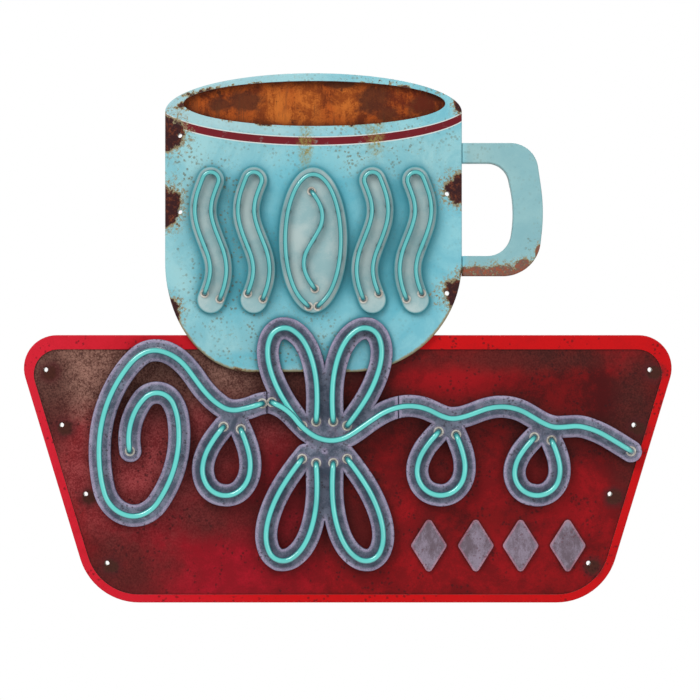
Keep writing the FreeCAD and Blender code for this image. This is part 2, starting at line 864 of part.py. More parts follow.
def cylinder(name, radius, length, place, rotation=FreeCAD.Rotation()):
    """A cylinder along its own Z, its radius and length bound to the sheet."""
    item = document.addObject("Part::Cylinder", name)
    item.Label = name
    item.setExpression("Radius", radius)
    item.setExpression("Height", length)
    item.Placement = FreeCAD.Placement(place, rotation)
    return item


def combined(kind, name, base, tool):
    """Two objects fused, or the second cut from the first."""
    item = document.addObject(kind, name)
    item.Label = name
    item.Base = base
    item.Tool = tool
    item.Refine = True
    return item


def add_hinge_pin():
    """The pin on which the door swings."""
    x, bottom = hinge_line()
    length = "5 * sizes.knuckle_length + 4 * sizes.knuckle_gap"
    lowest = at(x, bottom, size("hinge_depth"))
    nodes.append(cylinder("door_hinge_pin", "sizes.hinge_pin_radius", length, lowest))


def add_latch_screw():
    """The captive screw of the door: a wide head behind the leaf and a shank through it."""
    left, right, bottom, top = box_sides()
    x = right - size("latch_inset")
    z = (bottom + top) / 2
    head = cylinder(
        "latch_head", "sizes.latch_head_radius", "sizes.door_back - sizes.latch_head_back",
        at(x, z, size("latch_head_back")), FORWARDS)
    shank = cylinder(
        "latch_shank", "sizes.latch_radius", "sizes.latch_reach - sizes.door_back",
        at(x, z, size("door_back")), FORWARDS)
    nodes.append(combined("Part::Fuse", "door_latch_screw", head, shank))


def add_gland():
    """The supply gland: a threaded barrel with a collar on the outside of the tray."""
    top = box_sides()[3]
    x = size("gland_place")
    port = size("box_port_depth")
    lowest = at(x, top - size("gland_inside"), port)
    barrel = cylinder("gland_barrel", "sizes.gland_radius", "sizes.gland_length", lowest)
    collar = cylinder(
        "gland_collar", "sizes.gland_collar_radius", "sizes.gland_collar_height", at(x, top, port))
    bore = cylinder("gland_bore", "sizes.gland_bore", "sizes.gland_length", lowest)
    solid = combined("Part::Fuse", "gland_solid", barrel, collar)
    nodes.append(combined("Part::Cut", "supply_gland", solid, bore))


def add_switch_nut():
    """The hexagon nut that holds the switch in the tray."""
    place = at(box_sides()[1], size("switch_middle"), size("box_port_depth"))
    hexagonal = document.addObject("Part::Prism", "switch_nut_blank")
    hexagonal.Label = "switch_nut_blank"
    hexagonal.Polygon = 6
    hexagonal.setExpression("Circumradius", "sizes.switch_nut_half_flats / cos(30 deg)")
    hexagonal.setExpression("Height", "sizes.switch_nut_thickness")
    hexagonal.Placement = FreeCAD.Placement(place, SIDEWAYS)
    bore = cylinder("switch_nut_bore", "sizes.thread_radius", "sizes.switch_nut_thickness", place, SIDEWAYS)
    nodes.append(combined("Part::Cut", "switch_nut", hexagonal, bore))


# ---------------------------------------------------------------- transformer box

def block(low, high):
    """A box between two corners, each given as (x, depth, z)."""
    x0, depth0, z0 = low
    x1, depth1, z1 = high
    return Part.makeBox(x1 - x0, depth1 - depth0, z1 - z0, FreeCAD.Vector(x0, -depth1, z0))


def upright_rod(x, depth, bottom, top, radius):
    """A round bar along Z."""
    return Part.makeCylinder(radius, top - bottom, FreeCAD.Vector(x, -depth, bottom))


def cross_rod(start, end, depth, z, radius):
    """A round bar along X."""
    place = FreeCAD.Vector(start, -depth, z)
    return Part.makeCylinder(radius, end - start, place, FreeCAD.Vector(1, 0, 0))


def box_sides():
    """Left, right, bottom and top of the transformer box."""
    left = size("box_centre") - size("box_width") / 2
    bottom = size("box_bottom")
    return left, left + size("box_width"), bottom, bottom + size("box_height")


def hinge_line():
    """The X place of the hinge pin and the bottom of its lowest knuckle."""
    left, right, bottom, top = box_sides()
    height = 5 * size("knuckle_length") + 4 * size("knuckle_gap")
    return left - size("hinge_radius") - 0.5, (bottom + top - height) / 2


def knuckles(turns, bore, leaf_edge, leaf_back, leaf_front):
    """The rolled knuckles at the given turns, each with the tab that joins it to its leaf."""
    x, first = hinge_line()
    solids = []
    for turn in turns:
        low = first + turn * (size("knuckle_length") + size("knuckle_gap"))
        high = low + size("knuckle_length")
        roll = upright_rod(x, size("hinge_depth"), low, high, size("hinge_radius"))
        tab = block((x, leaf_back, low), (leaf_edge, leaf_front, high))
        hole = upright_rod(x, size("hinge_depth"), low - 1, high + 1, bore)
        solids.append(roll.fuse(tab).cut(hole))
    return solids


def make_tray():
    """The folded tray behind the base field, open towards the wall, with its hinge knuckles."""
    left, right, bottom, top = box_sides()
    steel = size("sheet")
    front = size("base_field_depth") - steel
    back = size("box_back")
    port = size("box_port_depth")
    shell = block((left, back, bottom), (right, front, top))
    hollow = block((left + steel, back - 1, bottom + steel), (right - steel, front - steel, top - steel))
    roll_front = size("hinge_depth") + size("hinge_radius")
    rolls = knuckles((0, 2, 4), size("hinge_pin_radius"), left + steel / 2, roll_front - steel, roll_front)
    latch = right - size("latch_inset")
    middle = (bottom + top) / 2
    tab = block((latch - 7, back + 0.6, middle - 8), (right - steel / 2, back + 0.6 + steel, middle + 8))
    holes = [
        upright_rod(size("gland_place"), port, top - 5, top + 5, size("gland_radius")),
        cross_rod(right - 5, right + 5, port, size("switch_middle"), size("thread_radius")),
        rod(latch, middle, size("latch_radius") + 0.6, 0, 10),
    ]
    holes += [upright_rod(x, port, top - 5, top + 5, size("terminal_radius")) for x in terminal_places()]
    holes += [rod(x, z, 1.6, 30, front + 1) for x, z in case_screw_places()]
    return shell.cut(hollow).fuse(rolls + [tab]).removeSplitter().cut(holes)


def make_door():
    """The access door that closes the tray on the wall side, with the other two knuckles."""
    left, right, bottom, top = box_sides()
    back = size("door_back")
    front = back + size("sheet")
    leaf = block((left, back, bottom), (right, front, top))
    rolls = knuckles((1, 3), size("hinge_pin_radius") + 0.3, left + 1, back, front)
    latch = rod(right - size("latch_inset"), (bottom + top) / 2, size("latch_radius"), 0, 10)
    return leaf.fuse(rolls).removeSplitter().cut(latch)


def terminal_places():
    """The X places of the two high-voltage terminals."""
    return [-75, -15]


def case_middle():
    """The height of the middle of the transformer case."""
    left, right, bottom, top = box_sides()
    return (bottom + top) / 2 - 6


def case_screw_places():
    """Two screws in each end flange of the transformer."""
    reach = (size("case_width") + size("flange_width")) / 2
    centre = size("case_centre")
    middle = case_middle()
    return [(centre + side * reach, middle + rise) for side in (-1, 1) for rise in (-18, 18)]


def make_case():
    """The potted transformer: a round-edged block on a plate with two end flanges."""
    front = size("base_field_depth") - 2 * size("sheet")
    half = size("case_width") / 2
    centre = size("case_centre")
    low = case_middle() - size("case_height") / 2
    high = low + size("case_height")
    body = block((centre - half, front - size("case_depth"), low), (centre + half, front, high))
    corners = [edge for edge in body.Edges if abs(edge.Vertexes[0].Y - edge.Vertexes[1].Y) > 1]
    body = body.makeFillet(2.5, corners)
    reach = half + size("flange_width")
    plate = block((centre - reach, front - 2, low + 4), (centre + reach, front, high - 4))
    holes = [rod(x, z, 1.6, 0, 70) for x, z in case_screw_places()]
    return body.fuse(plate).removeSplitter().cut(holes)


def case_screw(x, z):
    """A pan-head screw through a flange and the tray."""
    front = size("base_field_depth") - 2 * size("sheet")
    shank = rod(x, z, 1.6, front - 2, front + size("sheet"))
    return shank.fuse(rod(x, z, 3.2, front - 4.2, front - 2)).removeSplitter()


def terminal(x):
    """A ceramic terminal through the top of the tray."""
    top = box_sides()[3]
    port = size("box_port_depth")
    barrel = upright_rod(x, port, top - 10, top + 12, size("terminal_radius"))
    collar = upright_rod(x, port, top, top + 3, size("terminal_radius") + 2.5)
    return barrel.fuse(collar).removeSplitter()


def make_gland_nut():
    """The dome nut that grips the supply cable."""
    top = box_sides()[3]
    x = size("gland_place")
    port = size("box_port_depth")
    dome = upright_rod(x, port, top + 4, top + 13, size("gland_radius") + 2.5)
    brim = [edge for edge in dome.Edges if edge.BoundBox.ZMin > top + 12]
    dome = dome.makeChamfer(2, brim)
    thread = upright_rod(x, port, top + 3, top + 9, size("gland_radius"))
    return dome.cut([thread, upright_rod(x, port, top, top + 20, size("gland_bore"))])


def make_switch_body():
    """The disconnect switch: a moulded body inside the tray and a threaded bush through its side."""
    right = box_sides()[1]
    inside = right - size("sheet")
    port = size("box_port_depth")
    middle = size("switch_middle")
    body = block((inside - 17, port - 9, middle - 12), (inside, port + 9, middle + 12))
    bush = cross_rod(inside, right + 6, port, middle, size("thread_radius"))
    socket = cross_rod(right + 1, right + 7, port, middle, 3)
    return body.fuse(bush).removeSplitter().cut(socket)


def lever_pivot():
    """The centre of the ball on which the lever turns."""
    return FreeCAD.Vector(box_sides()[1] + 4, -size("box_port_depth"), size("switch_middle"))


def make_lever():
    """The lever: a bat handle turned with its ball, tipped up in its rest position."""
    ball = size("lever_ball_radius")
    neck = size("lever_neck_radius")
    tip = size("lever_tip_radius")
    length = size("lever_length")
    collar = math.sqrt(ball * ball - neck * neck)
    edges = [
        Part.Arc(
            FreeCAD.Vector(0, 0, -ball),
            FreeCAD.Vector(ball, 0, 0),
            FreeCAD.Vector(neck, 0, collar)).toShape(),
        Part.makeLine(FreeCAD.Vector(neck, 0, collar), FreeCAD.Vector(tip, 0, length)),
        Part.Arc(
            FreeCAD.Vector(tip, 0, length),
            FreeCAD.Vector(tip / math.sqrt(2), 0, length + tip / math.sqrt(2)),
            FreeCAD.Vector(0, 0, length + tip)).toShape(),
        Part.makeLine(FreeCAD.Vector(0, 0, length + tip), FreeCAD.Vector(0, 0, -ball)),
    ]
    profile = Part.Face(Part.Wire(edges))
    lever = profile.revolve(FreeCAD.Vector(0, 0, 0), FreeCAD.Vector(0, 0, 1), 360)
    tilt = FreeCAD.Rotation(FreeCAD.Vector(0, 1, 0), 90 - size("lever_tilt"))
    lever.Placement = FreeCAD.Placement(lever_pivot(), tilt)
    return lever


# ---------------------------------------------------------------- wiring

def rounded_run(corners, bend):
    """A wire through points in space, each corner between two straight runs rounded."""
    edges = []
    start = corners[0]
    for index in range(1, len(corners) - 1):
        corner = corners[index]
        before = (corners[index - 1] - corner).normalize()
        after = (corners[index + 1] - corner).normalize()
        half_angle = before.getAngle(after) / 2
        run = bend / math.tan(half_angle)
        inward = (before + after).normalize()
        middle = corner + inward * (bend / math.sin(half_angle) - bend)
        arc_start = corner + before * run
        arc_end = corner + after * run
        if arc_start.distanceToPoint(start) > 0.001:
            edges.append(Part.makeLine(start, arc_start))
        edges.append(Part.Arc(arc_start, middle, arc_end).toShape())
        start = arc_end
    edges.append(Part.makeLine(start, corners[-1]))
    return Part.Wire(edges)


def lead(corners):
    """A round insulated wire that leaves its first point square to its end face."""
    first = corners[0]
    way = corners[1] - first
    section = Part.Wire([Part.makeCircle(size("lead_radius"), first, way)])
    return rounded_run(corners, size("lead_bend")).makePipeShell([section], True, False)


def between_caps(start, finish, start_back, finish_back, via=()):
    """A lead from the back of one end cap to the back of another, by way of other places."""
    level = size("lead_depth")
    corners = [at(*start, start_back), at(*start, level)]
    corners += [at(x, z, level) for x, z in via]
    corners += [at(*finish, level), at(*finish, finish_back)]
    return lead(corners)


def make_leads():
    """The high-voltage leads that join the transformer and every tube in one series loop."""
    cup = size("cup_leg_end") - size("cap_below")
    base = size("base_leg_end") - size("cap_below")
    level = size("lead_depth")
    legs = {name: leg_places([path]) for name, path in CUP_GLASS.items()}
    legs.update({name: leg_places([path]) for name, path in LOOP_GLASS.items()})
    legs.update({name: leg_places([path]) for name, path in STEM_GLASS.items()})
    for name, places in legs.items():
        legs[name] = sorted(places)
    terminal_top = box_sides()[3] + 12
    port = size("box_port_depth")
    first_post, second_post = [at(x, terminal_top, port) for x in terminal_places()]
    up = FreeCAD.Vector(0, 0, 9)
    back = FreeCAD.Vector(0, port - level, 12)
    volute_start, volute_end = legs["stem_tube_left"]
    stem_start, stem_end = legs["stem_tube_right"]
    out_hole, home_hole = [(x, size("base_top") + 12) for x in LEAD_HOLES]
    leads = [
        lead([
            first_post, first_post + up, first_post + up + back,
            at(*volute_start, level), at(*volute_start, base)]),
        between_caps(
            volute_end, legs["steam_1_tube"][0], base, cup,
            [(out_hole[0], 30), out_hole, (-150, 74), (-186, 84)]),
        between_caps(legs["steam_1_tube"][1], legs["steam_2_tube"][0], cup, cup),
        between_caps(legs["steam_2_tube"][1], legs["bean_outline_tube"][0], cup, cup),
        between_caps(legs["bean_outline_tube"][1], legs["bean_crease_tube"][1], cup, cup),
        between_caps(legs["bean_crease_tube"][0], legs["steam_3_tube"][0], cup, cup),
        between_caps(legs["steam_3_tube"][1], legs["steam_4_tube"][0], cup, cup),
        between_caps(
            legs["steam_4_tube"][1], stem_start, cup, base,
            [(90, 80), (30, 76), home_hole, (home_hole[0], 20)]),
        between_caps(stem_end, legs["right_loop_tube"][1], base, base),
        between_caps(legs["right_loop_tube"][0], legs["middle_loop_tube"][1], base, base),
        between_caps(legs["middle_loop_tube"][0], legs["upper_right_loop_tube"][1], base, base),
        between_caps(legs["upper_right_loop_tube"][0], legs["upper_left_loop_tube"][1], base, base),
        between_caps(legs["upper_left_loop_tube"][0], legs["left_loop_tube"][1], base, base),
        between_caps(legs["left_loop_tube"][0], legs["lower_left_loop_tube"][0], base, base),
        between_caps(legs["lower_left_loop_tube"][1], legs["lower_right_loop_tube"][0], base, base),
        lead([
            second_post, second_post + up, second_post + up + back,
            at(*legs["lower_right_loop_tube"][1], level), at(*legs["lower_right_loop_tube"][1], base)]),
    ]
    return group(leads)


# ---------------------------------------------------------------- the sign, piece by piece

keep("base_face_pan", make_base_pan())
keep("cup_face_pan", make_cup_pan())
keep("cup_handle_pan", make_handle_pan())
keep("handle_rivets", group([handle_rivet(depth, z) for depth, z in handle_rivet_places()]))
keep("cup_mouth_panel", make_mouth_panel())
for name in STEAM:
    keep(name + "_pan", make_motif_pan(steam_outline(name)))
keep("bean_pan", make_motif_pan(bean_outline))
for name in ("left", "centre", "right"):
    keep("scroll_band_" + name, make_band(name))
plate_back = size("base_field_depth")
plate_front = plate_back + size("plate_stand_off") + size("sheet")
for index, x in enumerate(PLATE_CENTRES, start=1):
    keep(f"accent_plate_{index}", pan(plate_outline(x), plate_back, plate_front, size("plate_fold")))

for name, path in CUP_GLASS.items():
    keep(name, glass_tube(path, size("cup_tube_radius"), size("tube_rest"), size("cup_leg_end")))
for name, path in LOOP_GLASS.items():
    keep(name, glass_tube(path, size("scroll_tube_radius"), size("tube_rest"), size("base_leg_end")))
for name, path in STEM_GLASS.items():
    keep(name, glass_tube(path, size("scroll_tube_radius"), size("stem_rest"), size("base_leg_end")))

low_supports = [place for path in CUP_GLASS.values() for place in along(path, 5)]
low_supports += [place for path in LOOP_GLASS.values() for place in along(path, 4)]
tall_supports = along(STEM_GLASS["stem_tube_left"], 7) + along(STEM_GLASS["stem_tube_right"], 5)
keep("low_tube_supports", group([tube_support(x, z, size("tube_rest")) for x, z in low_supports]))
keep("stem_tube_supports", group([tube_support(x, z, size("stem_rest")) for x, z in tall_supports]))

cup_radius = size("cup_tube_radius")
scroll_radius = size("scroll_tube_radius")
keep("cup_tube_bushings", group([bushing(x, z, cup_radius) for x, z in CUP_LEGS]))
keep("scroll_tube_bushings", group([bushing(x, z, scroll_radius) for x, z in BASE_LEGS]))
end_caps = [end_cap(x, z, cup_radius, size("cup_leg_end")) for x, z in CUP_LEGS]
end_caps += [end_cap(x, z, scroll_radius, size("base_leg_end")) for x, z in BASE_LEGS]
keep("tube_end_caps", group(end_caps))

cup_back = size("cup_depth") - size("sheet")
field_back = size("base_field_depth") - size("sheet")
band_back = size("band_depth") - size("sheet")
sleeve = (size("bolt_hole_radius"), size("sleeve_radius"), 0)
base_sleeves = [tube_spacer(x, z, *sleeve, field_back) for x, z in both_sides(BASE_BOLTS)]
keep("base_bolt_sleeves", group(base_sleeves))
keep("cup_bolt_sleeves", group([tube_spacer(x, z, *sleeve, cup_back) for x, z in CUP_BOLTS]))

studs = [stud(x, z, cup_back, band_back) for x, z in CUP_STUDS]
studs += [stud(x, z, field_back, band_back) for x, z in BAND_STUDS]
studs += [stud(x, z, field_back, plate_front - size("sheet")) for x, z in PLATE_STUDS]
keep("pan_studs", group(studs))
nuts = [nut(x, z, cup_back) for x, z in CUP_STUDS]
nuts += [nut(x, z, field_back) for x, z in BASE_STUDS]
keep("pan_nuts", group(nuts))

make_frame()
rail_heights = (size("upper_rail_height"), size("lower_rail_height"))
rivets = [make_rivet(x, z) for x in upright_places() for z in rail_heights]
keep("frame_rivets", group(rivets))
keep("frame_posts", group(make_posts()))

keep("transformer_tray", make_tray())
keep("transformer_door", make_door())
add_hinge_pin()
add_latch_screw()
keep("transformer_case", make_case())
keep("transformer_screws", group([case_screw(x, z) for x, z in case_screw_places()]))
keep("high_voltage_terminals", group([terminal(x) for x in terminal_places()]))
add_gland()
keep("supply_gland_nut", make_gland_nut())
keep("switch_body", make_switch_body())
add_switch_nut()
keep("switch_lever", make_lever())
keep("wiring_leads", make_leads())

document.recompute()
for item in document.Objects:
    if "Invalid" in item.State or "Error" in item.State:
        raise RuntimeError(f"{item.Label} failed to compute")
for node in nodes:
    if node.Shape.isNull() or not node.Shape.isValid():
        raise RuntimeError(f"{node.Label} has no valid shape")

os.makedirs("parts", exist_ok=True)
for node in nodes:
    node.Shape.exportStep(os.path.join("parts", node.Label + ".step"))
print(len(nodes), "nodes")
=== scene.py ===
import bpy
import math
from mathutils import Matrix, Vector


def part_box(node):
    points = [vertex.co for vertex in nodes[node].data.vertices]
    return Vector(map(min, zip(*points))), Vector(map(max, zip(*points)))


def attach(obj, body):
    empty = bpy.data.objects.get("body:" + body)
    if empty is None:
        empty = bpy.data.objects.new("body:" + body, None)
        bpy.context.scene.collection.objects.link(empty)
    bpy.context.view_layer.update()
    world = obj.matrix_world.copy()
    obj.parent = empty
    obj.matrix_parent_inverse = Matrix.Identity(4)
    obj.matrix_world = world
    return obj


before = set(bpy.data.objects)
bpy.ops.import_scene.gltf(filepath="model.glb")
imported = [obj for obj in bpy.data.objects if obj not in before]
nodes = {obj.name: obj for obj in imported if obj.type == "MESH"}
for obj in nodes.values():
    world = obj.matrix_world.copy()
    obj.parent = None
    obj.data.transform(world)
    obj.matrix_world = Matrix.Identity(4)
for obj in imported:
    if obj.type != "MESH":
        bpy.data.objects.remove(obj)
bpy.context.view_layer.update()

# Rear frame.  Two upright flat bars and two rails, 30 by 4 mm mild steel, riveted where
# they cross, with turned posts that carry the pans.  It was primed grey before it went up
# and has rusted since, most of all along the lower bars.


def operator(operation):
    """The plain and the reflected form of one sum between outputs, or an output and a number."""

    def plain(self, other):
        return self.finish.node("ShaderNodeMath", {"operation": operation}, {0: self, 1: other})

    def reflected(self, other):
        return self.finish.node("ShaderNodeMath", {"operation": operation}, {0: other, 1: self})

    return plain, reflected


class Output:
    """One output of a node in a finish.  A sum written on it adds the nodes that work it out."""

    def __init__(self, finish, socket):
        self.finish = finish
        self.socket = socket

    __add__, __radd__ = operator("ADD")
    __sub__, __rsub__ = operator("SUBTRACT")
    __mul__, __rmul__ = operator("MULTIPLY")
    __truediv__, __rtruediv__ = operator("DIVIDE")
    __lt__, __gt__ = operator("LESS_THAN")
    __or__, __ror__ = operator("MAXIMUM")
    __and__, __rand__ = operator("MINIMUM")

    def size(self):
        return self.finish.node("ShaderNodeMath", {"operation": "ABSOLUTE"}, {0: self})

    def root(self):
        return self.finish.node("ShaderNodeMath", {"operation": "SQRT"}, {0: self | 0})


class Finish:
    """A paint, metal, rubber or glass finish, with the nodes that give it its detail."""

    def __init__(self, name, **constants):
        self.material = bpy.data.materials.new(name)
        self.material.use_nodes = True
        self.tree = self.material.node_tree
        self.shader = self.tree.nodes["Principled BSDF"]
        for socket, value in constants.items():
            self.shader.inputs[socket.replace("_", " ")].default_value = value
        self.across, self.depth, self.up = self.split("Object")
        self.faces_x, self.faces_y, self.faces_z = self.split("Normal")

    def node(self, kind, settings=None, sockets=None, out=0):
        """A node of that kind: its settings go in first, then what its sockets take."""
        made = self.tree.nodes.new(kind)
        for name, value in (settings or {}).items():
            setattr(made, name, value)
        for name, value in (sockets or {}).items():
            self.join(made.inputs[name], value)
        return Output(self, made.outputs[out])

    def join(self, socket, value):
        """Links an output to a socket, or sets the socket to a number or colour."""
        if isinstance(value, Output):
            self.tree.links.new(value.socket, socket)
        elif socket.type == "RGBA" and len(value) == 3:
            socket.default_value = (*value, 1)
        else:
            socket.default_value = value

    def split(self, coordinates):
        """The three parts of a point, or of the way the surface faces, on the piece itself."""
        where = self.node("ShaderNodeTexCoord", out=coordinates)
        parts = [self.node("ShaderNodeSeparateXYZ", None, {0: where}, axis) for axis in range(3)]
        return parts

    def point(self, stretch=(1, 1, 1), shift=(0, 0, 0)):
        """The place on the piece, with the pattern stretched along each axis and moved."""
        settings = {"vector_type": "POINT"}
        where = self.node("ShaderNodeTexCoord", out="Object")
        scale = tuple(1 / s for s in stretch)
        return self.node("ShaderNodeMapping", settings, {"Vector": where, "Scale": scale, "Location": shift})

    def cloud(self, size, detail=4, rough=0.6, stretch=(1, 1, 1), shift=(0, 0, 0), warp=0):
        """Soft random mottling from 0 to 1, with blotches of that size in metres."""
        sockets = {"Vector": self.point(stretch, shift), "Scale": 1 / size, "Detail": detail}
        sockets.update({"Roughness": rough, "Distortion": warp})
        return self.node("ShaderNodeTexNoise", None, sockets)

    def specks(self, size, shift=(0, 0, 0)):
        """How far a point is from the middle of the nearest speck, in sizes of the speck."""
        sockets = {"Vector": self.point(shift=shift), "Scale": 1 / size}
        return self.node("ShaderNodeTexVoronoi", {"feature": "F1"}, sockets)

    def rise(self, value, low, high):
        """0 below low, 1 above high, and a smooth rise between; low may be the larger."""
        settings = {"interpolation_type": "SMOOTHSTEP"}
        sockets = {"Value": value, "From Min": low, "From Max": high}
        return self.node("ShaderNodeMapRange", settings, sockets)

    def blend(self, share, under, over):
        """The under colour with that share of the over colour laid on it."""
        return self.node("ShaderNodeMix", {"data_type": "RGBA"}, {0: share, 6: under, 7: over}, 2)

    def near(self, x, z, half_width, half_height):
        """0 at the middle of an oval on the face, 1 on its edge, and more outside."""
        sideways = (self.across - x) / half_width
        upwards = (self.up - z) / half_height
        return (sideways * sideways + upwards * upwards).root()

    def spread(self, ovals, soft, ragged, size):
        """1 inside any of the ovals and 0 outside, with an edge made ragged by mottling."""
        nearest = 9
        for oval in ovals:
            nearest = self.near(*oval) & nearest
        torn = nearest + (self.cloud(size, 5, 0.7) - 0.5) * ragged
        return self.rise(torn, 1 + soft, 1 - soft)

    def shade_near_parts(self, reach):
        """Towards 1 where other pieces stand within that reach, and 0 in the open: a mask for painted shade.
        """
        return 1 - self.node("ShaderNodeAmbientOcclusion", {"samples": 12}, {"Distance": reach}, "AO")

    def front_edge_mask(self, width):
        """1 along the front edges of a folded pan, and 0 on its flat face, over about that width."""
        eased = self.node("ShaderNodeBevel", {"samples": 8}, {"Radius": width})
        facing = self.node("ShaderNodeSeparateXYZ", None, {0: eased}, 1)
        return self.rise(facing, -0.9985, -0.975) * self.rise(self.faces_y, -0.30, -0.60)

    def flecks(self, size, often, shift=(0, 0, 0)):
        """Small ragged flecks about that size apart, in more of the places as often goes to 1."""
        seldom = 0.62 - often * 0.25
        chance = self.rise(self.cloud(size * 5, 3, 0.6, shift=shift), seldom, seldom + 0.04)
        torn = self.specks(size, shift) + (self.cloud(size * 0.35, 3, 0.8, shift=shift) - 0.5) * 0.9
        return self.rise(torn, 0.36, 0.22) * chance

    def outside(self, x, z):
        """1 on the faces of a folded pan that look outwards, and 0 on its inner faces."""
        outwards = self.faces_x * (self.across - x) + self.faces_z * (self.up - z) - self.faces_y * 0.3
        return self.rise(outwards, -0.01, 0.01)

    def rusted(self, colour, share):
        """A coat with rust through it: beige chipped rim, orange bloom and a dark brown heart."""
        bloom = self.rise(self.cloud(0.006, 6, 0.82), 0.48, 0.66)
        rust = self.blend(bloom, (0.034, 0.009, 0.010), (0.165, 0.040, 0.016))
        crumbly = self.cloud(0.0025, 4, 0.8, shift=(0, 0, 9))
        chip = self.blend(crumbly, (0.16, 0.12, 0.05), (0.40, 0.34, 0.20))
        rimmed = self.blend(self.rise(share, 0.05, 0.30), colour, chip)
        return self.blend(self.rise(share, 0.34, 0.62), rimmed, rust)

    def coat(self, colour, roughness, height=None, deep=0.0004, strength=0.6):
        """Puts the colour, the roughness and the relief on the shader."""
        self.join(self.shader.inputs["Base Color"], colour)
        self.join(self.shader.inputs["Roughness"], roughness)
        if height is not None:
            sockets = {"Strength": strength, "Distance": deep, "Height": height}
            self.join(self.shader.inputs["Normal"], self.node("ShaderNodeBump", None, sockets))

    def on(self, *names):
        """Gives the named parts of the sign this finish in place of their plain one."""
        for name in names:
            for held in nodes[name].material_slots:
                held.material = self.material


frame_paint = Finish("primed_frame_steel", Specular_IOR_Level=0.35)
primer = frame_paint.blend(frame_paint.cloud(0.03, 5), (0.10, 0.10, 0.098), (0.22, 0.215, 0.20))
low_down = frame_paint.rise(frame_paint.up, 0.02, -0.19) * 0.12
eaten = frame_paint.rise(frame_paint.cloud(0.022, 6, 0.7) + low_down, 0.56, 0.68)
scale = frame_paint.cloud(0.0025, 4)
frame_paint.coat(frame_paint.rusted(primer, eaten), 0.5 + eaten * 0.35, scale + eaten * 0.6, 0.0003)
frame_paint.on(
    "rear_upright_left", "rear_upright_right", "rear_rail_lower", "rear_rail_upper", "frame_posts",
)

# Base pan.  One sheet of 1.5 mm steel folded back all round, with its face sunk 2 mm inside
# a border.  Stove enamel: a bright red border, and a field that has gone from red to maroon,
# scorched brown at the upper left and chipped where the wall bolts have been tightened.


def primed_back(paint, sparse, thick):
    """Grey primer inside a pan, with rust running down where the mottling is over those shares."""
    primed = paint.blend(paint.cloud(0.04, 5), (0.16, 0.155, 0.15), (0.30, 0.29, 0.275))
    streaked = paint.rise(paint.cloud(0.02, 6, 0.7, stretch=(1, 1, 5)), sparse, thick)
    return paint.rusted(primed, streaked)


base_low, base_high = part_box("base_face_pan")
border_step = base_low.y + 0.001
hole_spread = ((0.3935, 0), (0.3727, -0.072), (0.3415, -0.162), (0.3135, -0.252))
base_paint = Finish("base_enamel", Specular_IOR_Level=0.10)
grain = base_paint.cloud(0.0022, 3, 0.8)
smoke = base_paint.cloud(0.085, 7, 0.68, shift=(3.1, 0, 0.4), warp=0.5)
dapple = base_paint.cloud(0.016, 6, 0.72, shift=(1.4, 0, 2.2))
uneven = smoke * 0.75 + dapple * 0.25 + (grain - 0.5) * 0.22
field = base_paint.blend(
    base_paint.rise(uneven, 0.40, 0.60), (0.066, 0.0034, 0.0040), (0.180, 0.0040, 0.0050),
)
red_areas = [
    (0.13, -0.005, 0.085, 0.035), (0.06, -0.21, 0.06, 0.09), (0.21, -0.145, 0.15, 0.030),
    (-0.01, -0.25, 0.10, 0.05), (0.36, 0.03, 0.03, 0.03), (0.02, -0.255, 0.28, 0.045),
    (0.30, -0.19, 0.06, 0.05),
]
warm = base_paint.spread(red_areas, 0.75, 1.5, 0.045)
stirred = base_paint.rise(uneven, 0.42, 0.60)
lively = base_paint.blend(stirred, (0.215, 0.0036, 0.0062), (0.350, 0.0042, 0.0088))
field = base_paint.blend(warm * 0.80, field, lively)
crimson_areas = [(-0.19, -0.24, 0.13, 0.10), (-0.10, -0.20, 0.06, 0.10)]
crimson = base_paint.spread(crimson_areas, 0.6, 1.1, 0.07)
rosy = base_paint.blend(stirred, (0.250, 0.0044, 0.0120), (0.390, 0.0056, 0.0195))
field = base_paint.blend(crimson * 0.85, field, rosy)
dusty_areas = [(-0.275, -0.105, 0.11, 0.10), (-0.17, -0.06, 0.08, 0.05)]
dusty_red = base_paint.spread(dusty_areas, 0.55, 1.0, 0.05)
gritty = base_paint.rise(grain + (dapple - 0.5) * 0.6, 0.34, 0.66)
brick = base_paint.blend(gritty, (0.200, 0.018, 0.022), (0.420, 0.074, 0.076))
field = base_paint.blend(dusty_red * 0.85, field, brick)
scorched_areas = [(-0.33, 0.0, 0.13, 0.055), (-0.16, 0.005, 0.12, 0.050), (-0.265, 0.012, 0.09, 0.040)]
scorched = base_paint.spread(scorched_areas, 0.55, 1.0, 0.05)
singed = base_paint.blend(gritty, (0.085, 0.034, 0.026), (0.320, 0.170, 0.130))
field = base_paint.blend(scorched * 0.9, field, singed)
burnt_places = [
    (-0.30, -0.26, 0.075, 0.045), (-0.175, -0.19, 0.06, 0.03), (-0.39, -0.04, 0.03, 0.07),
    (-0.08, -0.02, 0.05, 0.04), (0.23, 0.015, 0.14, 0.018), (0.375, -0.06, 0.03, 0.10),
]
burnt = base_paint.spread(burnt_places, 0.7, 1.2, 0.05)
charred_and_shade = base_paint.blend(base_paint.rise(grain, 0.3, 0.7), (0.026, 0.0065, 0.0060), (0.085, 0.020, 0.016))
field = base_paint.blend(burnt * 0.75, field, charred_and_shade)
# Painted shade: the field darkens to the charred colour where the bands and the cup stand close over it.
shaded = base_paint.rise(base_paint.shade_near_parts(0.034), 0.10, 0.48)
field = base_paint.blend(shaded * 0.50, field, charred_and_shade)
faded = base_paint.rise(base_paint.across, -0.05, -0.40)
border = base_paint.blend(faded * 0.8, (0.53, 0.0030, 0.0048), (0.60, 0.014, 0.034))
border = base_paint.blend(base_paint.rise(uneven, 0.46, 0.66) * 0.45, border, (0.34, 0.004, 0.006))
sunk = base_paint.rise(base_paint.depth, border_step - 0.0003, border_step + 0.0003)
flat = base_paint.rise(base_paint.faces_y, -0.85, -0.95)
shell = base_paint.blend(sunk * flat, border, field)
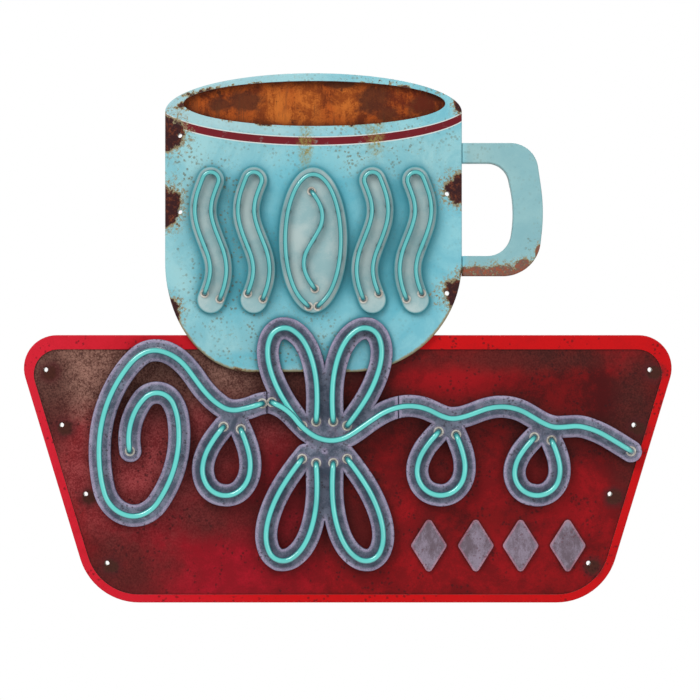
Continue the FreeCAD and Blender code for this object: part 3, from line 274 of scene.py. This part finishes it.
chips = [(side * x + 0.005, z - 0.004, 0.0095, 0.0090) for x, z in hole_spread for side in (-1, 1)]
chipped = base_paint.spread(chips, 0.30, 1.3, 0.009) * flat
ringed = base_paint.spread([(x, z, 0.015, 0.014) for x, z, wide, high in chips], 0.4, 1.2, 0.009) * flat
shell = base_paint.blend(ringed * 0.6, shell, (0.075, 0.012, 0.014))
bared = base_paint.blend(grain, (0.020, 0.006, 0.006), (0.090, 0.028, 0.018))
shell = base_paint.blend(chipped * 0.95, shell, bared)
scuffed = base_paint.flecks(0.006, 0.35) * flat
shell = base_paint.blend(scuffed * 0.6, shell, (0.030, 0.006, 0.007))
middle = (base_low + base_high) / 2
painted = base_paint.outside(middle.x, middle.z)
inner = primed_back(base_paint, 0.56, 0.72)
peel = base_paint.cloud(0.0035, 3)
base_paint.coat(
    base_paint.blend(painted, inner, shell),
    0.34 + grain * 0.22 + scorched * 0.2 + chipped * 0.3,
    peel * 0.3 + grain * 0.5 - chipped * 2.0,
    0.00035,
)
base_paint.on("base_face_pan")

# Cup pan and handle.  The cup is a second folded pan standing 8 mm proud of the base, with
# a mouth cut in it, and the handle is a third, riveted to its side.  Light blue enamel over
# dark primer, with a maroon band lined in white, and rust that has crept in from the edges.
cup_low, cup_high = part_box("cup_face_pan")
cup_middle, handle_start = -0.0446, 0.1484
cup_paint = Finish("cup_enamel", Specular_IOR_Level=0.22)
pores = cup_paint.cloud(0.0018, 3, 0.8)
haze = cup_paint.cloud(0.060, 7, 0.70, shift=(0.7, 0, 1.9), warp=0.5)
bitty = haze + (pores - 0.5) * 0.16
blue = cup_paint.blend(cup_paint.rise(bitty, 0.36, 0.64), (0.168, 0.470, 0.560), (0.262, 0.572, 0.632))
weathered_areas = [
    (-0.20, 0.20, 0.05, 0.15), (-0.15, 0.30, 0.10, 0.03), (0.08, 0.28, 0.10, 0.035),
    (-0.13, 0.03, 0.09, 0.05),
]
weathered = cup_paint.spread(weathered_areas, 0.8, 1.2, 0.04)
pale = cup_paint.blend(cup_paint.rise(bitty, 0.40, 0.60), (0.250, 0.480, 0.500), (0.350, 0.560, 0.560))
blue = cup_paint.blend(weathered * 0.5, blue, pale)
clean_areas = [
    (-0.045, 0.17, 0.075, 0.115), (0.06, 0.16, 0.06, 0.10), (-0.15, 0.15, 0.05, 0.09),
    (-0.12, 0.012, 0.06, 0.012),
]
clean = cup_paint.spread(clean_areas, 0.45, 0.6, 0.03)
blue = cup_paint.blend(clean * 0.5, blue, (0.060, 0.400, 0.510))
greyed = cup_paint.rise(cup_paint.across, cup_high.x, cup_high.x + 0.010)
greyer = cup_paint.blend(bitty, (0.240, 0.370, 0.370), (0.300, 0.440, 0.430))
blue = cup_paint.blend(greyed * 0.55, blue, greyer)
# Painted shade: the cup darkens to deep teal where the motifs, tubes and band stand close over it.
cup_painted_shade = cup_paint.rise(cup_paint.shade_near_parts(0.022), 0.06, 0.42) * (cup_paint.across < handle_start)
blue = cup_paint.blend(cup_painted_shade * 0.75, blue, (0.022, 0.215, 0.275))
spotted_areas = [
    (-0.165, 0.225, 0.045, 0.060), (-0.215, 0.25, 0.025, 0.10), (-0.16, 0.12, 0.05, 0.08),
    (-0.09, 0.04, 0.08, 0.05), (0.03, 0.285, 0.07, 0.03), (-0.055, 0.285, 0.02, 0.03),
    (0.0, 0.33, 0.14, 0.06), (-0.21, 0.33, 0.03, 0.03), (-0.05, 0.17, 0.02, 0.05),
    (0.245, 0.165, 0.012, 0.030),
]
spotted = cup_paint.spread(spotted_areas, 0.8, 1.4, 0.02)
fine = cup_paint.rise(cup_paint.cloud(0.0040, 6, 0.8, shift=(0, 0, 7)), 0.56, 0.64)
olive = cup_paint.blend(pores, (0.115, 0.105, 0.050), (0.300, 0.270, 0.120))
blue = cup_paint.blend(fine * spotted * 0.8, blue, olive)
dotted = cup_paint.flecks(0.0055, 0.55, (0.3, 0, 0)) * (spotted * 0.8 + 0.15)
dots = cup_paint.blend(haze, (0.060, 0.060, 0.032), (0.200, 0.165, 0.070))
blue = cup_paint.blend(dotted * 0.75, blue, dots)
half_band, half_lined = 0.0048, 0.0061
band_z, band_reach, band_sag = 0.3454, 0.2062, 0.0481
offset = (cup_paint.across - cup_middle) / band_reach
middle_line = band_z - (1 - offset * offset).root() * band_sag
off_line = (cup_paint.up - middle_line).size() + (pores - 0.5) * 0.0006
on_cup = cup_paint.across < cup_high.x
collar = cup_paint.rise(cup_paint.up - middle_line, 0, 0.012) * on_cup
collar = collar * cup_paint.rise(cup_paint.across, 0.12, -0.22)
blue = cup_paint.blend(collar * 0.55, blue, (0.430, 0.585, 0.600))
lined = cup_paint.rise(off_line, half_lined + 0.0002, half_lined - 0.0002) * on_cup
banded = cup_paint.rise(off_line, half_band + 0.0002, half_band - 0.0002) * on_cup
worn = cup_paint.rise(cup_paint.cloud(0.012, 6, 0.75), 0.58, 0.70)
blue = cup_paint.blend(lined * (1 - worn * 0.7), blue, (0.62, 0.66, 0.64))
maroon = cup_paint.blend(haze, (0.085, 0.002, 0.006), (0.210, 0.004, 0.013))
blue = cup_paint.blend(banded * (1 - worn * 0.25), blue, maroon)
drips = [
    (-0.055, 0.293, 0.008, 0.026), (0.036, 0.303, 0.010, 0.022), (0.046, 0.340, 0.035, 0.014),
    (0.02, 0.325, 0.02, 0.01),
]
dripped = cup_paint.spread(drips, 0.7, 2.6, 0.005)
stains = cup_paint.blend(pores, (0.110, 0.080, 0.020), (0.420, 0.360, 0.090))
blue = cup_paint.blend(dripped * cup_paint.rise(cup_paint.cloud(0.0045, 6, 0.85), 0.40, 0.60), blue, stains)
eaten_places = [
    (-0.2376, 0.306, 0.023, 0.021), (-0.2376, 0.212, 0.019, 0.024), (-0.232, 0.075, 0.013, 0.018),
    (0.1484, 0.234, 0.021, 0.019), (0.1484, 0.100, 0.023, 0.019),
    (0.166, 0.1235, 0.020, 0.0105), (0.205, 0.1230, 0.032, 0.0125), (0.232, 0.1330, 0.016, 0.0095),
    (0.249, 0.152, 0.005, 0.010), (0.146, 0.347, 0.008, 0.012), (0.132, 0.3655, 0.012, 0.006),
]
eaten = cup_paint.spread(eaten_places, 0.28, 1.3, 0.010)
crusted_places = [(x, z, wide * 1.5, high * 1.45) for x, z, wide, high in eaten_places]
crusted = cup_paint.spread(crusted_places, 0.45, 1.5, 0.008)
crusted = crusted * cup_paint.rise(cup_paint.cloud(0.0032, 5, 0.85, shift=(4, 0, 0)), 0.46, 0.60)
eaten = eaten | crusted * 0.55
foot_left, foot_right, foot_top = -0.1271, 0.0054, 0.140
left_round, foot_round = foot_left - cup_low.x, foot_top - cup_low.z
beyond = (foot_left - cup_paint.across) / left_round | (cup_paint.across - foot_right) / foot_round | 0
below = (foot_top - cup_paint.up) / foot_round | 0
foot = (beyond * beyond + below * below).root()
ragged = (cup_paint.cloud(0.007, 6, 0.8) - 0.5) * 0.050
under = cup_paint.rise(foot + ragged, 0.962, 0.990) * cup_paint.rise(cup_paint.up, 0.115, 0.080) * on_cup
darker = cup_paint.rise(cup_paint.cloud(0.020, 5, 0.7, shift=(0, 0, 2)), 0.50, 0.66)
eaten = eaten | under * (0.26 + darker * 0.34)
mouth_x, mouth_z, mouth_half_wide, mouth_half_high = -0.0434, 0.3463, 0.1703, 0.0294
lip = cup_paint.near(mouth_x, mouth_z, mouth_half_wide, mouth_half_high)
lip = lip + (cup_paint.cloud(0.009, 6, 0.85, shift=(8, 0, 0)) - 0.5) * 0.42
rimmed = cup_paint.rise(lip, 1.10, 1.02)
rimmed = rimmed * cup_paint.rise(cup_paint.cloud(0.030, 4, 0.7, shift=(2, 0, 5)), 0.50, 0.62)
top_edge = cup_paint.rise(cup_paint.cloud(0.007, 6, 0.85, shift=(0, 0, 4)), 0.57, 0.66)
top_edge = top_edge * cup_paint.rise(cup_paint.across, -0.06, 0.06)
top_edge = top_edge * cup_paint.rise(cup_paint.up, 0.350, 0.362)
eaten = eaten | (rimmed | top_edge * on_cup) * 0.62
wall = cup_paint.rise(cup_paint.faces_y, -0.6, -0.2)
edge_rust = wall * cup_paint.rise(cup_paint.cloud(0.016, 6, 0.7), 0.56, 0.66)
eaten = eaten | edge_rust
on_handle = cup_paint.rise(cup_paint.across, cup_high.x, cup_high.x + 0.004)
sound = cup_paint.rise(cup_paint.cloud(0.0060, 6, 0.85, shift=(6, 0, 1)), 0.50, 0.60)
eaten = eaten * (1 - sound * on_handle * 0.75)
coat = cup_paint.rusted(blue, eaten)
orange = cup_paint.rise(cup_paint.cloud(0.0055, 6, 0.85), 0.42, 0.60)
foxed = cup_paint.blend(orange, (0.170, 0.110, 0.090), (0.360, 0.090, 0.040))
coat = cup_paint.blend(cup_paint.rise(eaten, 0.40, 0.60) * on_handle * 0.85, coat, foxed)
beside_cup = cup_paint.across > handle_start
painted = cup_paint.outside(cup_middle, 0.18) | beside_cup * cup_paint.rise(cup_paint.faces_y, 0.5, 0.2)
inner = primed_back(cup_paint, 0.55, 0.70)
cup_paint.coat(
    cup_paint.blend(painted, inner, coat),
    0.30 + pores * 0.18 + eaten * 0.42 + weathered * 0.12,
    pores * 0.35 - cup_paint.rise(eaten, 0.4, 0.55) * 1.6 + cup_paint.cloud(0.003, 4) * eaten * 2.2,
    0.00035,
)
cup_paint.on("cup_face_pan", "cup_handle_pan")

# Mouth panel.  A plain sheet set 10 mm back behind the opening, whose paint has long gone:
# bare steel, rusted orange and brown, with dark scabs and streaks where rain has run down.
mouth = Finish("rusted_mouth_panel", Specular_IOR_Level=0.12)
blooms = mouth.cloud(0.034, 7, 0.74, shift=(0.2, 0, 0), warp=0.6)
runs = mouth.cloud(0.0065, 6, 0.75, stretch=(1, 1, 9))
powder = mouth.cloud(0.0016, 3, 0.85)
patchy = blooms * 0.7 + runs * 0.3 + (powder - 0.5) * 0.28
bare = mouth.blend(mouth.rise(patchy, 0.41, 0.57), (0.120, 0.021, 0.006), (0.400, 0.080, 0.012))
bright_places = [
    (-0.052, 0.345, 0.018, 0.030), (-0.095, 0.345, 0.020, 0.020), (0.0, 0.35, 0.018, 0.02),
    (-0.075, 0.33, 0.035, 0.012),
]
bright = mouth.spread(bright_places, 0.8, 1.6, 0.012)
fresh = mouth.blend(mouth.rise(patchy, 0.42, 0.56), (0.300, 0.064, 0.010), (0.560, 0.160, 0.026))
bare = mouth.blend(bright * 0.75, bare, fresh)
scab_places = [
    (0.035, 0.352, 0.022, 0.020), (0.052, 0.333, 0.014, 0.012), (-0.135, 0.350, 0.022, 0.014),
    (0.095, 0.345, 0.020, 0.012), (-0.01, 0.372, 0.020, 0.006), (-0.165, 0.345, 0.015, 0.008),
    (0.115, 0.356, 0.016, 0.007),
]
scattered = mouth.rise(mouth.cloud(0.020, 6, 0.75, shift=(5.2, 0, 2.0)), 0.60, 0.66)
scabs = mouth.spread(scab_places, 0.35, 1.8, 0.014) | scattered
bare = mouth.blend(scabs * 0.85, bare, mouth.blend(powder, (0.040, 0.012, 0.007), (0.110, 0.030, 0.014)))
bare = mouth.blend(mouth.rise(runs, 0.53, 0.66) * 0.60, bare, (0.095, 0.032, 0.014))
deep_red = mouth.rise(mouth.across, 0.02, 0.09) * mouth.rise(patchy, 0.58, 0.44)
bare = mouth.blend(deep_red * 0.65, bare, (0.130, 0.016, 0.006))
# Painted shade: the recessed panel darkens to dark brown near the edge of the opening and the pieces in
# front of it.
bare = mouth.blend(mouth.rise(mouth.shade_near_parts(0.018), 0.10, 0.55) * 0.6, bare, (0.050, 0.014, 0.008))
mouth.coat(bare, 0.72 + powder * 0.2, blooms + powder * 0.7 - scabs * 0.5, 0.0006, 0.8)
mouth.on("cup_mouth_panel")

# Steam wisps and bean.  Shallow pans on studs through the cup, their faces in pale grey
# enamel and their folded sides in turquoise, with the glass standing round their edge.
motif = Finish("motif_enamel", Specular_IOR_Level=0.22)
dust = motif.cloud(0.0020, 3, 0.8)
cast = motif.cloud(0.045, 5, 0.6)
clouded = motif.rise(cast + (dust - 0.5) * 0.2, 0.36, 0.66)
face = motif.blend(clouded, (0.270, 0.440, 0.460), (0.430, 0.540, 0.535))
marks = motif.rise(motif.cloud(0.006, 6, 0.8), 0.63, 0.73)
face = motif.blend(marks * 0.6, face, (0.150, 0.200, 0.180))
sides = motif.blend(cast, (0.030, 0.230, 0.270), (0.060, 0.400, 0.440))
turned = motif.rise(motif.faces_y, -0.93, -0.55)
shadowed = motif.rise(motif.shade_near_parts(0.010), 0.10, 0.55)
face = motif.blend(shadowed * 0.55, face, (0.110, 0.240, 0.270))
face = motif.blend(motif.front_edge_mask(0.0022) * 0.6, face, (0.130, 0.330, 0.370))
motif.coat(motif.blend(turned, face, sides), 0.32 + dust * 0.2, dust * 0.4 - marks * 0.5, 0.0003)
motif.on("steam_1_pan", "steam_2_pan", "steam_3_pan", "steam_4_pan", "bean_pan")

# Scroll band.  Three folded channels, 29 mm wide and butted at two seams, sprayed slate blue
# with a painted lilac highlight along the front folds; the flats are mottled.
band = Finish("band_enamel", Specular_IOR_Level=0.2)
grit = band.cloud(0.0017, 4, 0.88)
wash = band.cloud(0.022, 7, 0.74, warp=0.4)
mottled = band.rise(wash + (grit - 0.5) * 0.45, 0.40, 0.60)
slate = band.blend(mottled, (0.070, 0.088, 0.128), (0.185, 0.205, 0.275))
rosy = band.rise(band.cloud(0.018, 5, 0.7, shift=(2.0, 0, 0)), 0.50, 0.66)
slate = band.blend(rosy * 0.30, slate, (0.200, 0.130, 0.190))
# Painted highlight: the front folds are lightened to speckled lilac where light would catch them.
fold_highlight = band.front_edge_mask(0.0056)
side = band.rise(band.faces_y, -0.62, -0.25)
speckled = band.rise(grit + (wash - 0.5) * 0.6, 0.35, 0.65)
lilac_highlight = band.blend(speckled, (0.270, 0.235, 0.360), (0.470, 0.400, 0.550))
slate = band.blend(fold_highlight * 0.85, slate, lilac_highlight)
slate = band.blend(side * 0.8, slate, (0.070, 0.060, 0.120))
# Painted shade: the band darkens towards navy beside the glass and where it stands close to other pieces.
band_painted_shade = band.rise(band.shade_near_parts(0.016), 0.10, 0.45)
slate = band.blend(band_painted_shade * 0.55, slate, (0.030, 0.042, 0.075))
nicks = band.rise(band.cloud(0.006, 6, 0.82, shift=(0, 0, 3)), 0.58, 0.66) | band.flecks(0.0045, 0.35)
slate = band.blend(nicks * 0.7, slate, (0.050, 0.034, 0.042))
band.coat(slate, 0.40 + grit * 0.25, grit * 0.8 - nicks * 0.8, 0.0004)
band.on("scroll_band_left", "scroll_band_centre", "scroll_band_right")

# Accent plates.  Four small pressed lozenges on studs under the scroll, grey enamel with a
# painted dusty pink highlight along the front edge.
plate = Finish("plate_enamel", Specular_IOR_Level=0.2)
grit = plate.cloud(0.0016, 4, 0.88)
wash = plate.cloud(0.016, 7, 0.72, stretch=(1, 1, 2))
mottled = plate.rise(wash + (grit - 0.5) * 0.45, 0.40, 0.60)
grey = plate.blend(mottled, (0.130, 0.095, 0.120), (0.250, 0.205, 0.265))
speckled = plate.rise(grit + (wash - 0.5) * 0.6, 0.35, 0.65)
pink_highlight = plate.blend(speckled, (0.300, 0.090, 0.140), (0.480, 0.260, 0.330))
# Painted highlight: a dusty pink lightening along the front fold of each plate.
grey = plate.blend(plate.front_edge_mask(0.0036) * 0.8, grey, pink_highlight)
grey = plate.blend(plate.rise(plate.faces_y, -0.55, -0.25) * 0.8, grey, (0.120, 0.050, 0.070))
nicks = plate.rise(plate.cloud(0.005, 6, 0.82), 0.58, 0.66) | plate.flecks(0.0045, 0.35)
grey = plate.blend(nicks * 0.6, grey, (0.110, 0.035, 0.045))
plate.coat(grey, 0.42 + grit * 0.25, grit * 0.6 - nicks * 0.6, 0.0003)
plate.on("accent_plate_1", "accent_plate_2", "accent_plate_3", "accent_plate_4")

# Neon glass.  Soft glass bent in the flame, 8 mm for the scroll and 6.4 mm for the cup, lit
# from inside.  It glows turquoise, with a painted bright core at the front and painted shade
# at the sides, and is blocked out with dark paint on the legs that go back through the pans.


def glowing_glass(name, bright, dim, strength, leg_depth):
    """Lit glass: a painted bright core in front, painted shade at the sides, and painted out behind
    leg_depth.
    """
    glass = Finish(
        name, IOR=1.5, Specular_IOR_Level=0.6, Coat_Weight=1.0, Coat_Roughness=0.04,
        Emission_Strength=strength,
    )
    dust = glass.cloud(0.0035, 5, 0.75)
    bands = glass.cloud(0.05, 3, 0.5)
    # Painted light: the glow and the glass tint are brightest where the tube faces forward and darker at the
    # sides.
    front = glass.rise(glass.faces_y, -0.50, -0.97)
    glow = glass.blend(front, dim, bright)
    glow = glass.blend(glass.rise(bands, 0.4, 0.75) * 0.3, glow, dim)
    glow = glass.blend(glass.rise(dust, 0.55, 0.75) * 0.35, glow, (0.03, 0.12, 0.12))
    masked = glass.rise(glass.depth, leg_depth - 0.001, leg_depth + 0.001)
    glass.join(glass.shader.inputs["Emission Color"], glass.blend(masked, glow, (0.0, 0.0, 0.0)))
    tint = glass.blend(front, (0.004, 0.070, 0.085), (0.035, 0.220, 0.210))
    paint = glass.blend(glass.cloud(0.004, 4), (0.012, 0.012, 0.013), (0.035, 0.033, 0.032))
    glass.coat(glass.blend(masked, tint, paint), 0.10 + dust * 0.2 + masked * 0.4, dust, 0.0001, 0.3)
    return glass


painted_behind = -0.0575
scroll_glass = glowing_glass(
    "scroll_neon_glass", (0.130, 0.850, 0.760), (0.004, 0.110, 0.130), 0.50, painted_behind,
)
scroll_glass.on(
    "stem_tube_left", "stem_tube_right", "left_loop_tube", "middle_loop_tube", "right_loop_tube",
    "upper_left_loop_tube", "upper_right_loop_tube", "lower_left_loop_tube", "lower_right_loop_tube",
)
cup_glass = glowing_glass(
    "cup_neon_glass", (0.090, 0.560, 0.590), (0.004, 0.100, 0.120), 0.45, painted_behind,
)
cup_glass.on(
    "steam_1_tube", "steam_2_tube", "steam_3_tube", "steam_4_tube", "bean_outline_tube", "bean_crease_tube",
)

# Tube supports.  Short posts of clear glass rod in a small foot, which hold the lit glass
# off the metal; the rod is greenish and the feet have gathered dust.
support = Finish(
    "support_glass", Specular_IOR_Level=0.5, Transmission_Weight=0.75, IOR=1.47, Coat_Weight=0.5
)
film = support.cloud(0.003, 4)
support.coat(
    support.blend(support.rise(film, 0.5, 0.75) * 0.6, (0.60, 0.76, 0.72), (0.20, 0.19, 0.16)),
    0.08 + film * 0.25, film, 0.0001, 0.3,
)
support.on("low_tube_supports", "stem_tube_supports")

# Bushings and end caps.  White glazed rings line the holes where glass goes through metal,
# and black silicone caps close each end over its electrode.
ceramic = Finish("bushing_ceramic", Specular_IOR_Level=0.5, Coat_Weight=0.4)
crazing = ceramic.rise(ceramic.specks(0.0025), 0.45, 0.60)
soot = ceramic.cloud(0.006, 5, 0.7)
glaze = ceramic.blend(ceramic.rise(soot, 0.45, 0.75) * 0.7, (0.62, 0.60, 0.54), (0.20, 0.15, 0.10))
ceramic.coat(ceramic.blend(crazing * 0.3, glaze, (0.25, 0.20, 0.15)), 0.18 + soot * 0.3, soot, 0.0002)
ceramic.on("cup_tube_bushings", "scroll_tube_bushings", "high_voltage_terminals")
silicone = Finish("black_silicone", Specular_IOR_Level=0.35)
chalk = silicone.cloud(0.004, 5, 0.75)
silicone.coat(
    silicone.blend(silicone.rise(chalk, 0.45, 0.8) * 0.6, (0.014, 0.014, 0.015), (0.075, 0.070, 0.065)),
    0.55 + chalk * 0.25, chalk, 0.0002,
)
silicone.on("tube_end_caps", "supply_gland", "supply_gland_nut", "switch_body")

# Leads.  Stranded high-voltage cable in black rubber, dusty where it lies on the pans, run
# from cap to cap and back to the transformer.  A rubber grommet lines each of the two holes
# in the top return of the base where the leads pass up into the cup.
rubber = Finish("lead_rubber", Specular_IOR_Level=0.35)
bloomed = rubber.cloud(0.006, 6, 0.75)
wound = rubber.cloud(0.0012, 2, 0.6, stretch=(1, 1, 2))
rubber.coat(
    rubber.blend(rubber.rise(bloomed, 0.48, 0.68) * 0.7, (0.016, 0.015, 0.015), (0.095, 0.085, 0.072)),
    0.50 + bloomed * 0.3, wound + bloomed * 0.4, 0.0002,
)
rubber.on("wiring_leads")
lead_places, lead_depth = (-0.118, -0.078), -0.011
grommet_wide, grommet_thick = 0.0046, 0.0020
sheet_half, sheet_middle = 0.0008, base_high.z - 0.00075
for number, lead_x in enumerate(lead_places, 1):
    bpy.ops.object.select_all(action="DESELECT")
    bpy.ops.mesh.primitive_torus_add(
        major_radius=grommet_wide, minor_radius=grommet_thick, major_segments=40, minor_segments=16,
        location=(lead_x, lead_depth, sheet_middle),
    )
    grommet = bpy.context.object
    grommet.name = f"lead_grommet_{number}"
    bpy.ops.object.transform_apply(location=True, rotation=True, scale=True)
    for vertex in grommet.data.vertices:
        beside = math.hypot(vertex.co.x - lead_x, vertex.co.y - lead_depth)
        vertex.select = beside > grommet_wide and abs(vertex.co.z - sheet_middle) < sheet_half
    bpy.ops.object.mode_set(mode="EDIT")
    bpy.ops.transform.resize(value=(0.72, 0.72, 1.2))
    bpy.ops.object.mode_set(mode="OBJECT")
    bpy.ops.object.shade_smooth_by_angle(angle=math.radians(40))
    grommet.data.materials.append(rubber.material)
    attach(grommet, "sign")

# Studs, nuts, rivets and wall-bolt sleeves.  Bright zinc plate, passivated faintly yellow
# and blue, going dull white in the corners and rusting on the cut ends.
zinc = Finish("zinc_plated_steel", Metallic=0.9)
flakes = zinc.cloud(0.003, 5, 0.7)
hue = zinc.cloud(0.012, 3)
plated = zinc.blend(zinc.rise(hue, 0.4, 0.6), (0.52, 0.53, 0.56), (0.60, 0.55, 0.43))
dulled = zinc.rise(flakes, 0.52, 0.70)
plated = zinc.blend(dulled * 0.6, plated, (0.30, 0.29, 0.28))
spots = zinc.rise(zinc.cloud(0.005, 6, 0.8, shift=(1, 1, 1)), 0.60, 0.70)
plated = zinc.blend(spots * 0.8, plated, (0.16, 0.055, 0.020))
zinc.coat(plated, 0.28 + flakes * 0.3 + spots * 0.3, flakes, 0.0002)
zinc.on(
    "pan_nuts", "pan_studs", "frame_rivets", "handle_rivets", "base_bolt_sleeves", "cup_bolt_sleeves",
    "transformer_screws", "switch_nut", "switch_lever", "door_hinge_pin", "door_latch_screw",
)

# Transformer box.  A folded tray, a hinged door and the transformer's own case, in grey
# hammer enamel that has chipped to rust along the folds.
box_paint = Finish("box_hammer_enamel", Specular_IOR_Level=0.5, Coat_Weight=0.3)
hammer = box_paint.specks(0.0045)
cloudy = box_paint.cloud(0.03, 5, 0.65)
hammered = box_paint.blend(box_paint.rise(hammer, 0.1, 0.7), (0.185, 0.200, 0.205), (0.105, 0.115, 0.120))
hammered = box_paint.blend(cloudy * 0.5, hammered, (0.150, 0.145, 0.135))
eaten = box_paint.rise(box_paint.cloud(0.016, 6, 0.75), 0.60, 0.70)
box_paint.coat(box_paint.rusted(hammered, eaten), 0.35 + eaten * 0.4, hammer + eaten * 0.5, 0.0004)
box_paint.on("transformer_tray", "transformer_door", "transformer_case")

# Studio.  A pale floor well below the hung sign, a plain white surround, and three large
# soft lamps: a key from the upper left, a fill from the right and one behind for the back.
bpy.ops.object.select_all(action="DESELECT")
bpy.ops.mesh.primitive_circle_add(vertices=96, radius=9.0, fill_type="NGON", location=(0, 0, -1.15))
floor = bpy.context.object
floor.name = "studio_floor"
bpy.ops.object.transform_apply(location=True, rotation=True, scale=True)
floor_paint = Finish("floor_paint", Specular_IOR_Level=0.2)
floor_paint.coat(floor_paint.blend(floor_paint.cloud(0.6, 3), (0.80, 0.80, 0.79), (0.84, 0.84, 0.83)), 0.8)
floor.data.materials.append(floor_paint.material)

surround = bpy.data.worlds.new("white_surround")
surround.use_nodes = True
tree = surround.node_tree
seen = tree.nodes.new("ShaderNodeLightPath")
white = tree.nodes["Background"]
white.inputs["Strength"].default_value = 0.62
backdrop = tree.nodes.new("ShaderNodeBackground")
backdrop.inputs["Color"].default_value = (1, 1, 1, 1)
white.inputs["Color"].default_value = (1, 1, 1, 1)
either = tree.nodes.new("ShaderNodeMixShader")
tree.links.new(seen.outputs["Is Camera Ray"], either.inputs[0])
tree.links.new(white.outputs[0], either.inputs[1])
tree.links.new(backdrop.outputs[0], either.inputs[2])
tree.links.new(either.outputs[0], tree.nodes["World Output"].inputs[0])
bpy.context.scene.world = surround
bpy.context.scene.view_settings.view_transform = "Standard"

lamps = (
    ("key_lamp", (-1.6, -2.6, 2.2), 1.6, 62),
    ("fill_lamp", (2.4, -3.2, 0.6), 2.2, 26),
    ("rear_lamp", (0.8, 3.0, 1.6), 2.0, 50),
)
for name, place, width, watts in lamps:
    lamp = bpy.data.lights.new(name, "AREA")
    lamp.size = width
    lamp.energy = watts
    holder = bpy.data.objects.new(name, lamp)
    bpy.context.scene.collection.objects.link(holder)
    holder.location = place
    holder.rotation_euler = (-holder.location).to_track_quat("-Z", "Y").to_euler()

camera_distance, aim_across, aim_up = 7.633, 0.0029, 0.0256
camera = bpy.data.cameras.new("camera")
camera.lens = 300
camera.clip_end = 60
stand = bpy.data.objects.new("camera", camera)
bpy.context.scene.collection.objects.link(stand)
stand.location = (aim_across, -camera_distance, aim_up)
stand.rotation_euler = (math.radians(90), 0, 0)
bpy.context.scene.camera = stand
